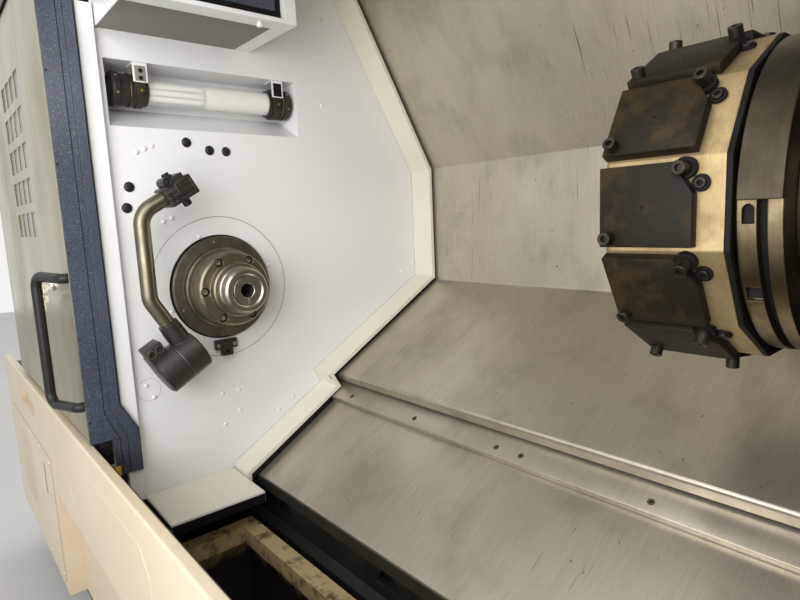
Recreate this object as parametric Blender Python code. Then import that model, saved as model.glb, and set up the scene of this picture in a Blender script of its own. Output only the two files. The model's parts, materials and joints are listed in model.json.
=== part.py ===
"""A slant-bed CNC turning lathe, with its door open.

Sizes are in metres. Every place is written in the spindle frame: X runs along the spindle axis from the
headstock wall towards the turret, Y to the back, Z up, with the spindle axis at Y = 0 and Z = 0. The slant
frame is the same one turned about the spindle axis by the slope of the bed: U runs up the bed and N stands
on it. MACHINE moves everything so that the origin lies under the middle of the machine, on the floor.
"""

from math import cos, pi, radians, sin, tan

import bmesh
import bpy
from mathutils import Matrix, Vector

# Driving dimensions

SPINDLE_HEIGHT = 0.960
WALL_TO_LEFT_END = 1.150
WALL_TO_RIGHT_END = 1.910
FRONT_REACH = 0.3395
BACK_REACH = 1.2124
BED_SLOPE = radians(30)
PANEL_LEAN = radians(30)

GAP = 0.0003
SHEET = 0.003
STOUT_SHEET = 0.004

# Work space, as the headstock wall bounds it

WALL_FRONT = -0.202
WALL_BOTTOM = -0.408
CEILING = 0.800
BACK_WALL = 0.560
BACK_WALL_TOP = 0.251
RIM_UPPER_N = -0.304
RIM_LOWER_N = -0.341
RIM_STEP_U = 0.070
RIM_LOW_U = -0.209
RIM_DEPTH = 0.070
RIM_SHEET = 0.0025
JAMB_FRONT = -0.230
JAMB_PROUD = 0.012
LEDGE_DEPTH = 0.152
RIGHT_WALL = 1.360

# Covers over the bed

COVER_N = -0.322
COVER_BACK = 0.576
COVER_SHEET = 0.003
COVER_LIP_U = 0.093
COVER_LIP_DROP = 0.024
STRIP_N = -0.353
STRIP_LOW_U = 0.046
STRIP_HIGH_U = 0.150
LOWER_N = -0.366
LOWER_LOW_U = -0.190
BED_N = -0.410

# Door and front

DOOR_WIDTH = 0.830
DOOR_FRONT = -0.292
DOOR_THICK = 0.046
DOOR_BOTTOM = -0.262
DOOR_TOP = 0.600
REAR_LEAF_THICK = 0.012
OPENING_TOP = 0.560
OPENING_RIGHT = 1.212
COVER_FRONT = -0.304
COVER_TOP = -0.272
COVER_BOTTOM = -0.780
COVER_BAND = 0.018
ROOF_TOP = 0.860
REAR_PANEL = 0.780
BODY_BOTTOM = -0.800

# Turret

TURRET_U = 0.262
TURRET_FLAT = 0.165
TURRET_STATIONS = 12
TURRET_FRONT = 0.861
TURRET_THICK = 0.1235
TURRET_CLEARANCE = 0.0005

# Spindle

CHUCK_RADIUS = 0.085
COLLET_BORE = 0.014
SPINDLE_BORE = 0.031


def rect(y0, z0, y1, z1):
    """Corners of a rectangle, anticlockwise."""
    return [(y0, z0), (y1, z0), (y1, z1), (y0, z1)]


def from_slant(u, n):
    """Y and Z of a point given along and square to the bed."""
    return (u * cos(BED_SLOPE) - n * sin(BED_SLOPE), u * sin(BED_SLOPE) + n * cos(BED_SLOPE))


SPINDLE_X = (WALL_TO_LEFT_END - WALL_TO_RIGHT_END) / 2
SPINDLE_Y = (FRONT_REACH - BACK_REACH) / 2
SPINDLE = Vector((SPINDLE_X, SPINDLE_Y, SPINDLE_HEIGHT))
MACHINE = Matrix.Translation(SPINDLE)
SLANT = MACHINE @ Matrix.Rotation(BED_SLOPE, 4, "X")


# Finishes: name, colour, roughness, metallic

WHITE_PAINT = ("white_paint", "E9E9E6", 0.35, 0.0)
CREAM_PAINT = ("cream_paint", "E8DDC2", 0.35, 0.0)
BEIGE_PAINT = ("beige_paint", "E6D9BF", 0.40, 0.0)
BLUE_GREY_PAINT = ("blue_grey_paint", "4B566B", 0.45, 0.1)
CHAMPAGNE_METAL = ("champagne_metal", "B3A88C", 0.30, 0.8)
STAINLESS = ("brushed_stainless", "A79C8B", 0.40, 0.9)
STEEL = ("ground_steel", "A8977F", 0.28, 1.0)
DARK_STEEL = ("dark_steel", "5A534B", 0.35, 0.9)
CAST_IRON = ("painted_casting", "3B3A2C", 0.60, 0.2)
YELLOW_PAINT = ("yellow_paint", "B99A45", 0.60, 0.1)
BLACK_PLASTIC = ("black_plastic", "232325", 0.45, 0.0)
CLEAR_GLASS = ("clear_glass", "E8EEF0", 0.05, 0.0)
LAMP_WHITE = ("lamp_white", "FBF8EA", 0.50, 0.0)
NICKEL = ("nickel_plate", "C9C6BE", 0.20, 1.0)
RED_PLASTIC = ("red_plastic", "B3201B", 0.35, 0.0)
GREEN_PLASTIC = ("green_plastic", "2C7A4B", 0.40, 0.0)


def linear(channel):
    """Linear value of one sRGB channel between 0 and 1."""
    return channel / 12.92 if channel <= 0.04045 else ((channel + 0.055) / 1.055) ** 2.4


def material(finish):
    """The material of a finish, made once."""
    name, colour, roughness, metallic = finish
    found = bpy.data.materials.get(name)
    if found:
        return found
    made = bpy.data.materials.new(name)
    made.use_nodes = True
    shader = made.node_tree.nodes["Principled BSDF"]
    rgb = [linear(int(colour[i : i + 2], 16) / 255) for i in (0, 2, 4)]
    shader.inputs["Base Color"].default_value = (*rgb, 1.0)
    shader.inputs["Roughness"].default_value = roughness
    shader.inputs["Metallic"].default_value = metallic
    return made


def carrier(name, place, turn=Matrix.Identity(4), parent=None):
    """An empty on a joint's axis, at a place of the spindle frame, which carries a moving body."""
    empty = bpy.data.objects.new(name, None)
    empty.empty_display_size = 0.1
    bpy.context.collection.objects.link(empty)
    hold(empty, parent)
    empty.matrix_basis = MACHINE @ Matrix.Translation(place) @ turn
    bpy.context.view_layer.update()
    return empty


def hold(obj, parent):
    """Parents an object and keeps its place."""
    if parent:
        obj.parent = parent
        obj.matrix_parent_inverse = parent.matrix_world.inverted()


def add(name, bm, finish, parent=None, frame=MACHINE, smooth=None):
    """Makes an object from a bmesh, with its finish, its carrier and its frame."""
    mesh = bpy.data.meshes.new(name)
    bmesh.ops.recalc_face_normals(bm, faces=bm.faces)
    bm.to_mesh(mesh)
    bm.free()
    obj = bpy.data.objects.new(name, mesh)
    bpy.context.collection.objects.link(obj)
    hold(obj, parent)
    obj.matrix_basis = frame
    if finish:
        mesh.materials.append(material(finish))
    if smooth:
        mesh.shade_smooth()
        mesh.set_sharp_from_angle(angle=radians(smooth))
    return obj


def helper(bm, frame=MACHINE):
    """A hidden object that cuts or joins another."""
    obj = add("helper", bm, None, frame=frame)
    obj.hide_render = True
    obj.display_type = "WIRE"
    return obj


def boolean(obj, bm, operation, frame=MACHINE):
    """Cuts a bmesh from an object, or joins it to the object."""
    modifier = obj.modifiers.new(operation.lower(), "BOOLEAN")
    modifier.operation = operation
    modifier.solver = "EXACT"
    modifier.object = helper(bm, frame)


def cut(obj, bm, frame=MACHINE):
    """Cuts a bmesh from an object."""
    boolean(obj, bm, "DIFFERENCE", frame)


def join(obj, bm, frame=MACHINE):
    """Joins a bmesh to an object."""
    boolean(obj, bm, "UNION", frame)


def put_prism(bm, outline, low, high, axis="X"):
    """Adds a straight prism: its outline in the two axes square to its own, in cyclic order for X."""
    order = {"X": (0, 1, 2), "Y": (1, 0, 2), "Z": (1, 2, 0)}[axis]
    ends = []
    for depth in (low, high):
        ring = []
        for a, b in outline:
            point = (depth, a, b)
            ring.append(bm.verts.new([point[i] for i in order]))
        ends.append(ring)
    bm.faces.new(ends[0])
    bm.faces.new(ends[1])
    count = len(outline)
    for i in range(count):
        j = (i + 1) % count
        bm.faces.new((ends[0][i], ends[0][j], ends[1][j], ends[1][i]))


def prism(outline, low, high, axis="X"):
    """A bmesh with one straight prism."""
    bm = bmesh.new()
    put_prism(bm, outline, low, high, axis)
    return bm


def box(low, high):
    """A bmesh with one box, between two corners."""
    return prism(rect(low[1], low[2], high[1], high[2]), low[0], high[0])


def boxes(corners):
    """A bmesh with several boxes."""
    bm = bmesh.new()
    for low, high in corners:
        put_prism(bm, rect(low[1], low[2], high[1], high[2]), low[0], high[0])
    return bm


def put_turned(bm, profile, steps, place=(0, 0, 0), axis="X", phase=0.0):
    """Adds a turned body: profile of (along the axis, radius), closed on the axis or as a ring."""
    turn = {"X": Matrix.Identity(4), "Y": Matrix.Rotation(pi / 2, 4, "Z"), "Z": Matrix.Rotation(-pi / 2, 4, "Y")}
    frame = Matrix.Translation(place) @ turn[axis]
    rings = []
    for along, radius in profile:
        if radius == 0:
            rings.append([bm.verts.new(frame @ Vector((along, 0, 0)))])
            continue
        ring = []
        for i in range(steps):
            angle = phase + 2 * pi * i / steps
            ring.append(bm.verts.new(frame @ Vector((along, radius * cos(angle), radius * sin(angle)))))
        rings.append(ring)
    closed = len(rings[0]) > 1
    pairs = list(zip(rings, rings[1:]))
    if closed:
        pairs.append((rings[-1], rings[0]))
    for a, b in pairs:
        for i in range(steps):
            j = (i + 1) % steps
            if len(a) == 1:
                bm.faces.new((a[0], b[j], b[i]))
            elif len(b) == 1:
                bm.faces.new((a[i], a[j], b[0]))
            else:
                bm.faces.new((a[i], a[j], b[j], b[i]))


def turned(profile, steps, place=(0, 0, 0), axis="X", phase=0.0):
    """A bmesh with one turned body."""
    bm = bmesh.new()
    put_turned(bm, profile, steps, place, axis, phase)
    return bm


def rod(low, high, radius, steps, place=(0, 0, 0), axis="X"):
    """A bmesh with one cylinder."""
    return turned([(low, 0), (low, radius), (high, radius), (high, 0)], steps, place, axis)


def ring(low, high, inner, outer, steps, place=(0, 0, 0), axis="X"):
    """A bmesh with one plain ring."""
    return turned([(low, inner), (low, outer), (high, outer), (high, inner)], steps, place, axis)


def offset(points, distance):
    """The points of an open line moved to its left, with mitred corners."""
    moved = []
    for i, (y, z) in enumerate(points):
        normals = []
        for a, b in ((i - 1, i), (i, i + 1)):
            if 0 <= a and b < len(points):
                along = Vector((points[b][0] - points[a][0], points[b][1] - points[a][1])).normalized()
                normals.append(Vector((-along.y, along.x)))
        mean = sum(normals, Vector((0, 0)))
        mean = mean / (mean.length_squared / len(normals))
        moved.append((y + mean.x * distance, z + mean.y * distance))
    return moved


def folded(points, thickness):
    """Outline of a folded sheet: the line that its one face follows, and the same line a thickness to its left."""
    return points + offset(points, thickness)[::-1]


def bent_path(points, radius, steps):
    """A path through corner points, with each inner corner rounded by an arc."""
    path = [Vector(points[0])]
    for before, corner, after in zip(points, points[1:], points[2:]):
        corner = Vector(corner)
        a = (Vector(before) - corner).normalized()
        b = (Vector(after) - corner).normalized()
        half = a.angle(b) / 2
        reach = radius / tan(half)
        centre = corner + (a + b).normalized() * (radius / sin(half))
        start = corner + a * reach - centre
        end = corner + b * reach - centre
        sweep = start.angle(end)
        axis = start.cross(end).normalized()
        for i in range(steps + 1):
            path.append(centre + Matrix.Rotation(sweep * i / steps, 3, axis) @ start)
    path.append(Vector(points[-1]))
    return path


def swept(path, radius, steps, squash=1.0):
    """A bmesh with one rod of round or oval section along a path."""
    bm = bmesh.new()
    side = (path[1] - path[0]).orthogonal().normalized()
    rings = []
    for i, point in enumerate(path):
        along = (path[min(i + 1, len(path) - 1)] - path[max(i - 1, 0)]).normalized()
        side = (side - along * side.dot(along)).normalized()
        other = along.cross(side)
        loop = []
        for k in range(steps):
            angle = 2 * pi * k / steps
            loop.append(bm.verts.new(point + side * radius * cos(angle) + other * radius * squash * sin(angle)))
        rings.append(loop)
    bm.faces.new(rings[0])
    bm.faces.new(rings[-1])
    for a, b in zip(rings, rings[1:]):
        for i in range(steps):
            j = (i + 1) % steps
            bm.faces.new((a[i], a[j], b[j], b[i]))
    return bm


def lofted(bm, low_ring, high_ring):
    """Adds a body between two outlines of as many points."""
    a = [bm.verts.new(p) for p in low_ring]
    b = [bm.verts.new(p) for p in high_ring]
    bm.faces.new(a)
    bm.faces.new(b)
    for i in range(len(a)):
        j = (i + 1) % len(a)
        bm.faces.new((a[i], a[j], b[j], b[i]))


# Outline of the work space

LOW_CORNER = from_slant(RIM_LOW_U, RIM_LOWER_N)
STEP_LOW = from_slant(RIM_STEP_U, RIM_LOWER_N)
STEP_HIGH = from_slant(RIM_STEP_U, RIM_UPPER_N)


def slant_at(y, n):
    """Z of the point at a given Y on a line along the bed."""
    return (y + n * sin(BED_SLOPE)) / cos(BED_SLOPE) * sin(BED_SLOPE) + n * cos(BED_SLOPE)


def lean_at(z, foot_y, foot_z):
    """Y of the point at a given Z on the panel that leans forward from a foot."""
    return foot_y - (z - foot_z) * tan(PANEL_LEAN)


BACK_LOW = (BACK_WALL, slant_at(BACK_WALL, RIM_UPPER_N))
BACK_HIGH = (BACK_WALL, BACK_WALL_TOP)
TOP_BACK = (lean_at(CEILING, *BACK_HIGH), CEILING)
WALL_OUTLINE = [
    (WALL_FRONT, WALL_BOTTOM),
    (LOW_CORNER[0], WALL_BOTTOM),
    LOW_CORNER,
    STEP_LOW,
    STEP_HIGH,
    BACK_LOW,
    BACK_HIGH,
    TOP_BACK,
    (WALL_FRONT, CEILING),
]


# Base

BED_FRONT = 0.046
BED_BACK = 0.724
BASE_FRONT = -0.262
BASE_PLATE_TOP = -0.735
BED_LEFT = -0.980
BED_RIGHT = 1.780
BED_STEP_Z = -0.520
BED_STEP = 0.014
POCKET_PITCH = 0.351
POCKET_FIRST = 0.121
POCKET_Z = -0.482
POCKET_SIZE = 0.040
POCKET_DEPTH = 0.090
FOOT_X = (-0.860, 0.400, 1.660)
FOOT_Y = (-0.190, 0.640)


def bed_casting():
    """The bed: a slanted casting on a base plate, with triangular pockets along its front wall."""
    top_front = (BED_FRONT, slant_at(BED_FRONT, BED_N))
    top_back = (BED_BACK, slant_at(BED_BACK, BED_N))
    outline = [
        (BASE_FRONT, BODY_BOTTOM),
        (BED_BACK, BODY_BOTTOM),
        top_back,
        top_front,
        (BED_FRONT, BED_STEP_Z),
        (BED_FRONT - BED_STEP, BED_STEP_Z - BED_STEP),
        (BED_FRONT - BED_STEP, BASE_PLATE_TOP),
        (BASE_FRONT, BASE_PLATE_TOP),
    ]
    bed = add("bed_casting", prism(outline, BED_LEFT, BED_RIGHT), CAST_IRON)
    pockets = bmesh.new()
    x = POCKET_FIRST
    while x < BED_RIGHT - POCKET_PITCH / 2:
        corners = []
        for i in range(3):
            angle = pi / 2 + 2 * pi * i / 3
            corners.append((x + POCKET_SIZE * cos(angle), POCKET_Z + POCKET_SIZE * sin(angle) * 0.8))
        put_prism(pockets, corners, BED_FRONT - 2 * BED_STEP, BED_FRONT + POCKET_DEPTH, "Y")
        x += POCKET_PITCH
    cut(bed, pockets)
    join(bed, levelling_feet())


def levelling_feet():
    """Six jack screws on round pads, which reach up into the base plate."""
    floor = -SPINDLE_HEIGHT
    seat = BODY_BOTTOM + 0.010
    pad, stud, nut = 0.055, 0.016, 0.026
    profile = [
        (floor, 0),
        (floor, pad),
        (floor + 0.020, pad),
        (floor + 0.036, stud),
        (seat - 0.034, stud),
        (seat - 0.034, nut),
        (seat, nut),
        (seat, 0),
    ]
    bm = bmesh.new()
    for x in FOOT_X:
        for y in FOOT_Y:
            put_turned(bm, profile, 10, (x, y, 0), "Z")
    return bm


RAIL_U = (0.200, 0.500)
RAIL_WIDTH = 0.034
RAIL_TOP_N = -0.386
RAIL_LEFT = 0.180
RAIL_RIGHT = 1.700


def linear_rails():
    """The two guide rails that lie on the slanted bed."""
    waist = 0.005
    for name, u in zip(("linear_rail_front", "linear_rail_rear"), RAIL_U):
        half = RAIL_WIDTH / 2
        low = BED_N + GAP
        middle = (low + RAIL_TOP_N) / 2
        outline = [
            (u - half, low),
            (u + half, low),
            (u + half - waist, middle),
            (u + half, RAIL_TOP_N),
            (u - half, RAIL_TOP_N),
            (u - half + waist, middle),
        ]
        add(name, prism(outline, RAIL_LEFT, RAIL_RIGHT), STEEL, frame=SLANT)


# Headstock

SHAFT_RADIUS = 0.055
HEADSTOCK_FRONT = -0.012
HEADSTOCK_LENGTH = 0.510
BEARING_CLEARANCE = 0.0006
SHAFT_LENGTH = 0.620


def headstock_casting():
    """The headstock: it stands on the bed in front of the moving covers and carries the spindle."""
    outline = [
        (-0.175, BED_N + GAP),
        (0.075, BED_N + GAP),
        (0.075, -0.270),
        (0.350, -0.250),
        (0.350, -0.110),
        (0.150, 0.150),
        (-0.100, 0.165),
        (-0.170, 0.060),
    ]
    low = HEADSTOCK_FRONT - HEADSTOCK_LENGTH
    body = add("headstock_casting", prism(outline, low, HEADSTOCK_FRONT), CAST_IRON, frame=SLANT)
    bore = SHAFT_RADIUS + BEARING_CLEARANCE
    cut(body, rod(low - 0.01, HEADSTOCK_FRONT + 0.01, bore, 32))


DISC_RADIUS = 0.109
DISC_CLEARANCE = 0.003
COVER_RING_RADIUS = 0.150
COVER_RING_THICK = 0.006
RECESS_DEPTH = 0.075
RECESS_CUT_FRONT = 0.002
RECESS_FRONT = rect(-0.190, 0.324, 0.213, 0.447)
RECESS_BACK = rect(-0.186, 0.369, 0.209, 0.443)


def headstock_wall():
    """The white side wall: sheet with a jamb, a ledge, the lamp's recess and the hole for the spindle cover."""
    wall = add("headstock_wall", prism(WALL_OUTLINE, -STOUT_SHEET, 0), WHITE_PAINT)
    jamb_top = OPENING_TOP - 0.025
    join(wall, box((-STOUT_SHEET, JAMB_FRONT, WALL_BOTTOM), (JAMB_PROUD, WALL_FRONT + 0.0005, jamb_top)))
    ledge_back = LOW_CORNER[0] - 0.002
    ledge = [
        (-STOUT_SHEET / 2, WALL_BOTTOM - STOUT_SHEET),
        (-STOUT_SHEET / 2, WALL_BOTTOM + 0.0005),
        (LEDGE_DEPTH, WALL_BOTTOM - 0.004),
        (LEDGE_DEPTH, WALL_BOTTOM - 0.026),
        (LEDGE_DEPTH - SHEET, WALL_BOTTOM - 0.026),
        (LEDGE_DEPTH - SHEET, WALL_BOTTOM - 0.004 - SHEET),
    ]
    join(wall, prism(ledge, WALL_FRONT, ledge_back, "Y"))
    pan = bmesh.new()
    grow = SHEET
    front = [(y, z) for y, z in RECESS_FRONT]
    back = [(y, z) for y, z in RECESS_BACK]
    outward = ((-1, -1), (1, -1), (1, 1), (-1, 1))
    outer_front = [(y + grow * s, z + grow * t) for (y, z), (s, t) in zip(front, outward)]
    outer_back = [(y + grow * s, z + grow * t) for (y, z), (s, t) in zip(back, outward)]
    start = -STOUT_SHEET / 2
    lofted(pan, [(start, *p) for p in outer_front], [(-RECESS_DEPTH - SHEET, *p) for p in outer_back])
    join(wall, pan)
    hollow = bmesh.new()
    lofted(hollow, [(RECESS_CUT_FRONT, *p) for p in front], [(-RECESS_DEPTH, *p) for p in back])
    cut(wall, hollow)
    cut(wall, rod(-0.02, 0.02, COVER_RING_RADIUS + GAP, 64))


def spindle_cover_ring():
    """The round cover round the spindle disc, flush with the wall."""
    inner = DISC_RADIUS + DISC_CLEARANCE
    add("spindle_cover_ring", ring(-COVER_RING_THICK, 0, inner, COVER_RING_RADIUS, 64), WHITE_PAINT, smooth=30)


def wall_rim():
    """The rim: a folded sheet that stands on the wall's edge, over the moving covers."""
    drop = (LOW_CORNER[0], LOW_CORNER[1] - 0.036)
    top = (lean_at(CEILING - 0.001, *BACK_HIGH), CEILING - 0.001)
    line = [top, BACK_HIGH, BACK_LOW, STEP_HIGH, STEP_LOW, LOW_CORNER, drop]
    rim = add("wall_rim", prism(folded(line, RIM_SHEET), GAP, RIM_DEPTH), CREAM_PAINT)
    lip = folded(line, 0.0095)
    join(rim, prism(lip, RIM_DEPTH - RIM_SHEET, RIM_DEPTH))


def coolant_nozzle_block():
    """The small block under the spindle disc, with its middle pad."""
    low, high, drop = -0.138, -0.1135, 0.010
    block = add("coolant_nozzle_block", box((GAP, -0.031, low), (0.010, 0.018, high)), BLACK_PLASTIC)
    join(block, box((GAP, -0.018, low - drop), (0.016, 0.005, high - 0.002)))
    cut(block, rod(0.008, 0.020, 0.003, 10, (0, -0.0065, low + 0.002)))


# Work light

LAMP_X = -0.036
LAMP_Z = 0.400
GLASS_RADIUS = 0.025
GLASS_WALL = 0.0025
GLASS_Y = (-0.109, 0.152)
CAP_Y = (-0.176, 0.205)
CAP_RADIUS = 0.033
BARS_END = 0.007
BRACKET_Y = (-0.1255, 0.168)
BRACKET_FACE = LAMP_X + CAP_RADIUS + 0.0002
LUG_HALF = 0.009
LUG_RISE = 0.029


def work_light_glass():
    """The clear tube of the work light."""
    low, high = GLASS_Y
    tube = ring(low, high, GLASS_RADIUS - GLASS_WALL, GLASS_RADIUS, 28, (LAMP_X, 0, LAMP_Z), "Y")
    add("work_light_glass", tube, CLEAR_GLASS, smooth=30)


def work_light_caps():
    """The black end caps, with their clamping rings."""
    r = CAP_RADIUS
    for side, end, inner, clamp in zip(("left", "right"), CAP_Y, GLASS_Y, BRACKET_Y):
        seat = inner - GAP if end < inner else inner + GAP
        away = -1 if end < inner else 1
        half = 0.006
        profile = [
            (seat, 0),
            (seat, 0.029),
            (clamp - away * half, 0.029),
            (clamp - away * half, r),
            (clamp + away * half, r),
            (clamp + away * half, 0.030),
            (end - away * 0.012, 0.030),
            (end - away * 0.012, r),
            (end - away * 0.003, r),
            (end, r - 0.003),
            (end, 0),
        ]
        cap = add(f"work_light_{side}_cap", turned(profile, 24, (LAMP_X, 0, LAMP_Z), "Y"), BLACK_PLASTIC, smooth=40)
        lug = ((LAMP_X, clamp - LUG_HALF, LAMP_Z), (BRACKET_FACE - GAP, clamp + LUG_HALF, LAMP_Z + LUG_RISE))
        join(cap, box(*lug))


def work_light_lamp():
    """Inside the glass: the milky sleeve on the right, and the two bright bars that reach out of it."""
    low, high = BARS_END, GLASS_Y[1]
    sleeve = rod(low, high, GLASS_RADIUS - GLASS_WALL - 0.0006, 24, (LAMP_X, 0, LAMP_Z), "Y")
    lamp = add("work_light_lamp", sleeve, LAMP_WHITE, smooth=40)
    bars = bmesh.new()
    radius = 0.0065
    profile = [(GLASS_Y[0], 0), (GLASS_Y[0], radius), (low + 0.004, radius), (low + 0.004, 0)]
    for lift in (-0.011, 0.011):
        put_turned(bars, profile, 12, (LAMP_X + 0.004, 0, LAMP_Z + lift), "Y")
    join(lamp, bars)


def recess_top(x):
    """Z of the lamp recess's sloping top at a depth in the wall."""
    front, back = RECESS_FRONT[2][1], RECESS_BACK[2][1]
    return back + (front - back) * (x + RECESS_DEPTH) / (RECESS_DEPTH + RECESS_CUT_FRONT)


def work_light_brackets():
    """White angle brackets that hold the clamping rings under the top of the recess."""
    half = 0.0135
    thick = 0.002
    near, far = BRACKET_FACE + thick, LAMP_X
    for side, y in zip(("left", "right"), BRACKET_Y):
        outline = [
            (BRACKET_FACE, LAMP_Z + 0.010),
            (near, LAMP_Z + 0.010),
            (near, recess_top(near) - GAP),
            (far, recess_top(far) - GAP),
            (far, recess_top(far) - GAP - thick),
            (BRACKET_FACE, recess_top(BRACKET_FACE) - GAP - thick),
        ]
        add(f"work_light_{side}_bracket", prism(outline, y - half, y + half, "Y"), WHITE_PAINT)


# Tool setter

SETTER_X = 0.078
SETTER_N = -0.045
SETTER_SEAM_U = -0.1755
SETTER_RADIUS = 0.040
SETTER_ARM_U = -0.153
TUBE_RADIUS = 0.0145
HEAD_U = -0.0215
HEAD_N = 0.226


def setter_base():
    """The fixed half of the tool setter's drum, with its clamp block and its foot on the wall."""
    low = -0.222
    drum = rod(low, SETTER_SEAM_U, SETTER_RADIUS, 32, (SETTER_X, 0, SETTER_N), "Y")
    base = add("setter_base", drum, BLACK_PLASTIC, frame=SLANT, smooth=30)
    join(base, box((0.050, low - 0.003, SETTER_N), (0.100, -0.185, 0.022)), SLANT)
    join(base, box((GAP, low + 0.006, SETTER_N - 0.026), (SETTER_X, SETTER_SEAM_U - 0.006, SETTER_N + 0.026)), SLANT)


def setter_arm(axis):
    """The swinging half of the drum with its collar, the bent tube and the touch head."""
    start = SETTER_SEAM_U + GAP
    end = -0.132
    drum = turned(
        [(start, 0), (start, SETTER_RADIUS), (end - 0.003, SETTER_RADIUS), (end, SETTER_RADIUS - 0.003), (end, 0)],
        32,
        (SETTER_X, 0, SETTER_N),
        "Y",
    )
    rotor = add("setter_rotor", drum, BLACK_PLASTIC, axis, SLANT, 30)
    collar_top = 0.032
    collar = [(SETTER_N, 0), (SETTER_N, 0.0200), (collar_top - 0.010, 0.0200), (collar_top, 0.0185), (collar_top, 0)]
    join(rotor, turned(collar, 20, (SETTER_X, SETTER_ARM_U, 0), "Z"), SLANT)
    rise = Vector((0, sin(BED_SLOPE), cos(BED_SLOPE)))
    corner = Vector((SETTER_X, SETTER_ARM_U, 0.086))
    reach = (HEAD_N - corner.z) / rise.z
    points = [
        (SETTER_X, SETTER_ARM_U, collar_top + GAP),
        corner,
        corner + rise * reach,
        (SETTER_X, HEAD_U - GAP, HEAD_N),
    ]
    path = bent_path(points, 0.042, 6)
    add("setter_tube", swept(path, TUBE_RADIUS, 12), STEEL, axis, SLANT, 40)
    head = add(
        "setter_head",
        box((SETTER_X - 0.024, HEAD_U, HEAD_N - 0.020), (SETTER_X + 0.024, 0.038, HEAD_N + 0.018)),
        BLACK_PLASTIC,
        axis,
        SLANT,
    )
    middle = 0.006
    join(head, box((SETTER_X - 0.020, -0.012, HEAD_N), (SETTER_X + 0.020, 0.028, HEAD_N + 0.027)), SLANT)
    join(head, rod(HEAD_N, HEAD_N + 0.037, 0.0105, 16, (SETTER_X, middle, 0), "Z"), SLANT)
    join(head, rod(HEAD_N - 0.034, HEAD_N, 0.0085, 16, (SETTER_X, middle + 0.006, 0), "Z"), SLANT)


# Spindle

CHUCK_FACE = 0.070
HUB_RADIUS = 0.056
HUB_END = 0.0900
CAP_FRONT = 0.1230
NOSE_BORE = 0.0300
COLLET_RADIUS = 0.0290
BOLT_CIRCLE = 0.0655
BOLT_HOLE = 0.0090
BOLT_RADIUS = 0.0078
SEAT_BORE = 0.0335


def hexagon(radius, turn=0.0):
    """Corners of a hexagon."""
    return [(radius * cos(turn + pi * i / 3), radius * sin(turn + pi * i / 3)) for i in range(6)]


def spindle(axis):
    """The shaft, the dark disc, the collet chuck with its bolts, the nose cap."""
    nose = -0.002
    flange = -0.0113
    shaft = [
        (-SHAFT_LENGTH, SPINDLE_BORE),
        (-SHAFT_LENGTH, SHAFT_RADIUS),
        (flange, SHAFT_RADIUS),
        (flange, 0.074),
        (nose, 0.074),
        (nose, SPINDLE_BORE),
    ]
    add("spindle_shaft", turned(shaft, 32), STEEL, axis, smooth=30)
    disc_back = nose + GAP
    disc_face = 0.012
    disc = [
        (disc_back, SPINDLE_BORE),
        (disc_back, DISC_RADIUS - 0.001),
        (0.004, DISC_RADIUS),
        (disc_face - 0.003, DISC_RADIUS - 0.003),
        (disc_face, 0.088),
        (disc_face, SPINDLE_BORE),
    ]
    add("spindle_disc", turned(disc, 48), DARK_STEEL, axis, smooth=20)
    back = disc_face + GAP
    body = [
        (back, SEAT_BORE),
        (back, CHUCK_RADIUS),
        (back + 0.006, CHUCK_RADIUS),
        (back + 0.009, CHUCK_RADIUS - 0.003),
        (CHUCK_FACE - 0.010, 0.0775),
        (CHUCK_FACE - 0.004, 0.0765),
        (CHUCK_FACE, 0.0725),
        (CHUCK_FACE, HUB_RADIUS),
        (HUB_END - 0.003, HUB_RADIUS),
        (HUB_END, HUB_RADIUS - 0.003),
        (HUB_END, SEAT_BORE),
    ]
    chuck = add("chuck_body", turned(body, 40), STEEL, axis, smooth=20)
    seats = bmesh.new()
    heads = bmesh.new()
    sockets = bmesh.new()
    for i in range(6):
        angle = pi * i / 3
        place = (0, BOLT_CIRCLE * cos(angle), BOLT_CIRCLE * sin(angle))
        floor = CHUCK_FACE - 0.022
        top = CHUCK_FACE - 0.006
        put_turned(seats, [(floor, 0), (floor, BOLT_HOLE), (0.1, BOLT_HOLE), (0.1, 0)], 14, place)
        head = [
            (floor - 0.001, 0),
            (floor - 0.001, BOLT_RADIUS),
            (top, BOLT_RADIUS),
            (top, 0),
        ]
        put_turned(heads, head, 12, place)
        corners = [(place[1] + y, place[2] + z) for y, z in hexagon(0.0042)]
        put_prism(sockets, corners, top - 0.005, top + 0.01)
    cut(chuck, seats)
    join(chuck, heads)
    cut(chuck, sockets)
    start = HUB_END + GAP
    cap = [
        (start, NOSE_BORE),
        (start, 0.0480),
        (start + 0.007, 0.0480),
        (start + 0.009, 0.0455),
        (start + 0.012, 0.0455),
        (start + 0.014, 0.0475),
        (CAP_FRONT - 0.004, 0.0455),
        (CAP_FRONT, 0.0420),
        (CAP_FRONT, NOSE_BORE + 0.004),
        (CAP_FRONT - 0.003, NOSE_BORE),
    ]
    add("nose_cap", turned(cap, 32), STEEL, axis, smooth=20)


def collet(axis):
    """The slotted collet in the nose cap."""
    tail = 0.040
    face = CAP_FRONT - 0.0015
    profile = [
        (tail, COLLET_BORE),
        (tail, 0.0240),
        (HUB_END, 0.0240),
        (HUB_END + 0.004, COLLET_RADIUS),
        (face - 0.001, COLLET_RADIUS),
        (face, COLLET_RADIUS - 0.001),
        (face, COLLET_BORE + 0.001),
        (face - 0.001, COLLET_BORE),
    ]
    body = add("collet", turned(profile, 32), STEEL, axis, smooth=20)
    slots = bmesh.new()
    half = 0.0006
    for i in range(3):
        angle = radians(30 + 120 * i)
        along = Vector((cos(angle), sin(angle)))
        across = Vector((-along.y, along.x)) * half
        near, far = along * 0.008, along * 0.040
        corners = [tuple(near - across), tuple(far - across), tuple(far + across), tuple(near + across)]
        put_prism(slots, corners, tail + 0.020, face + 0.01)
    cut(body, slots)


# Carriage, cross slide and turret

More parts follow.
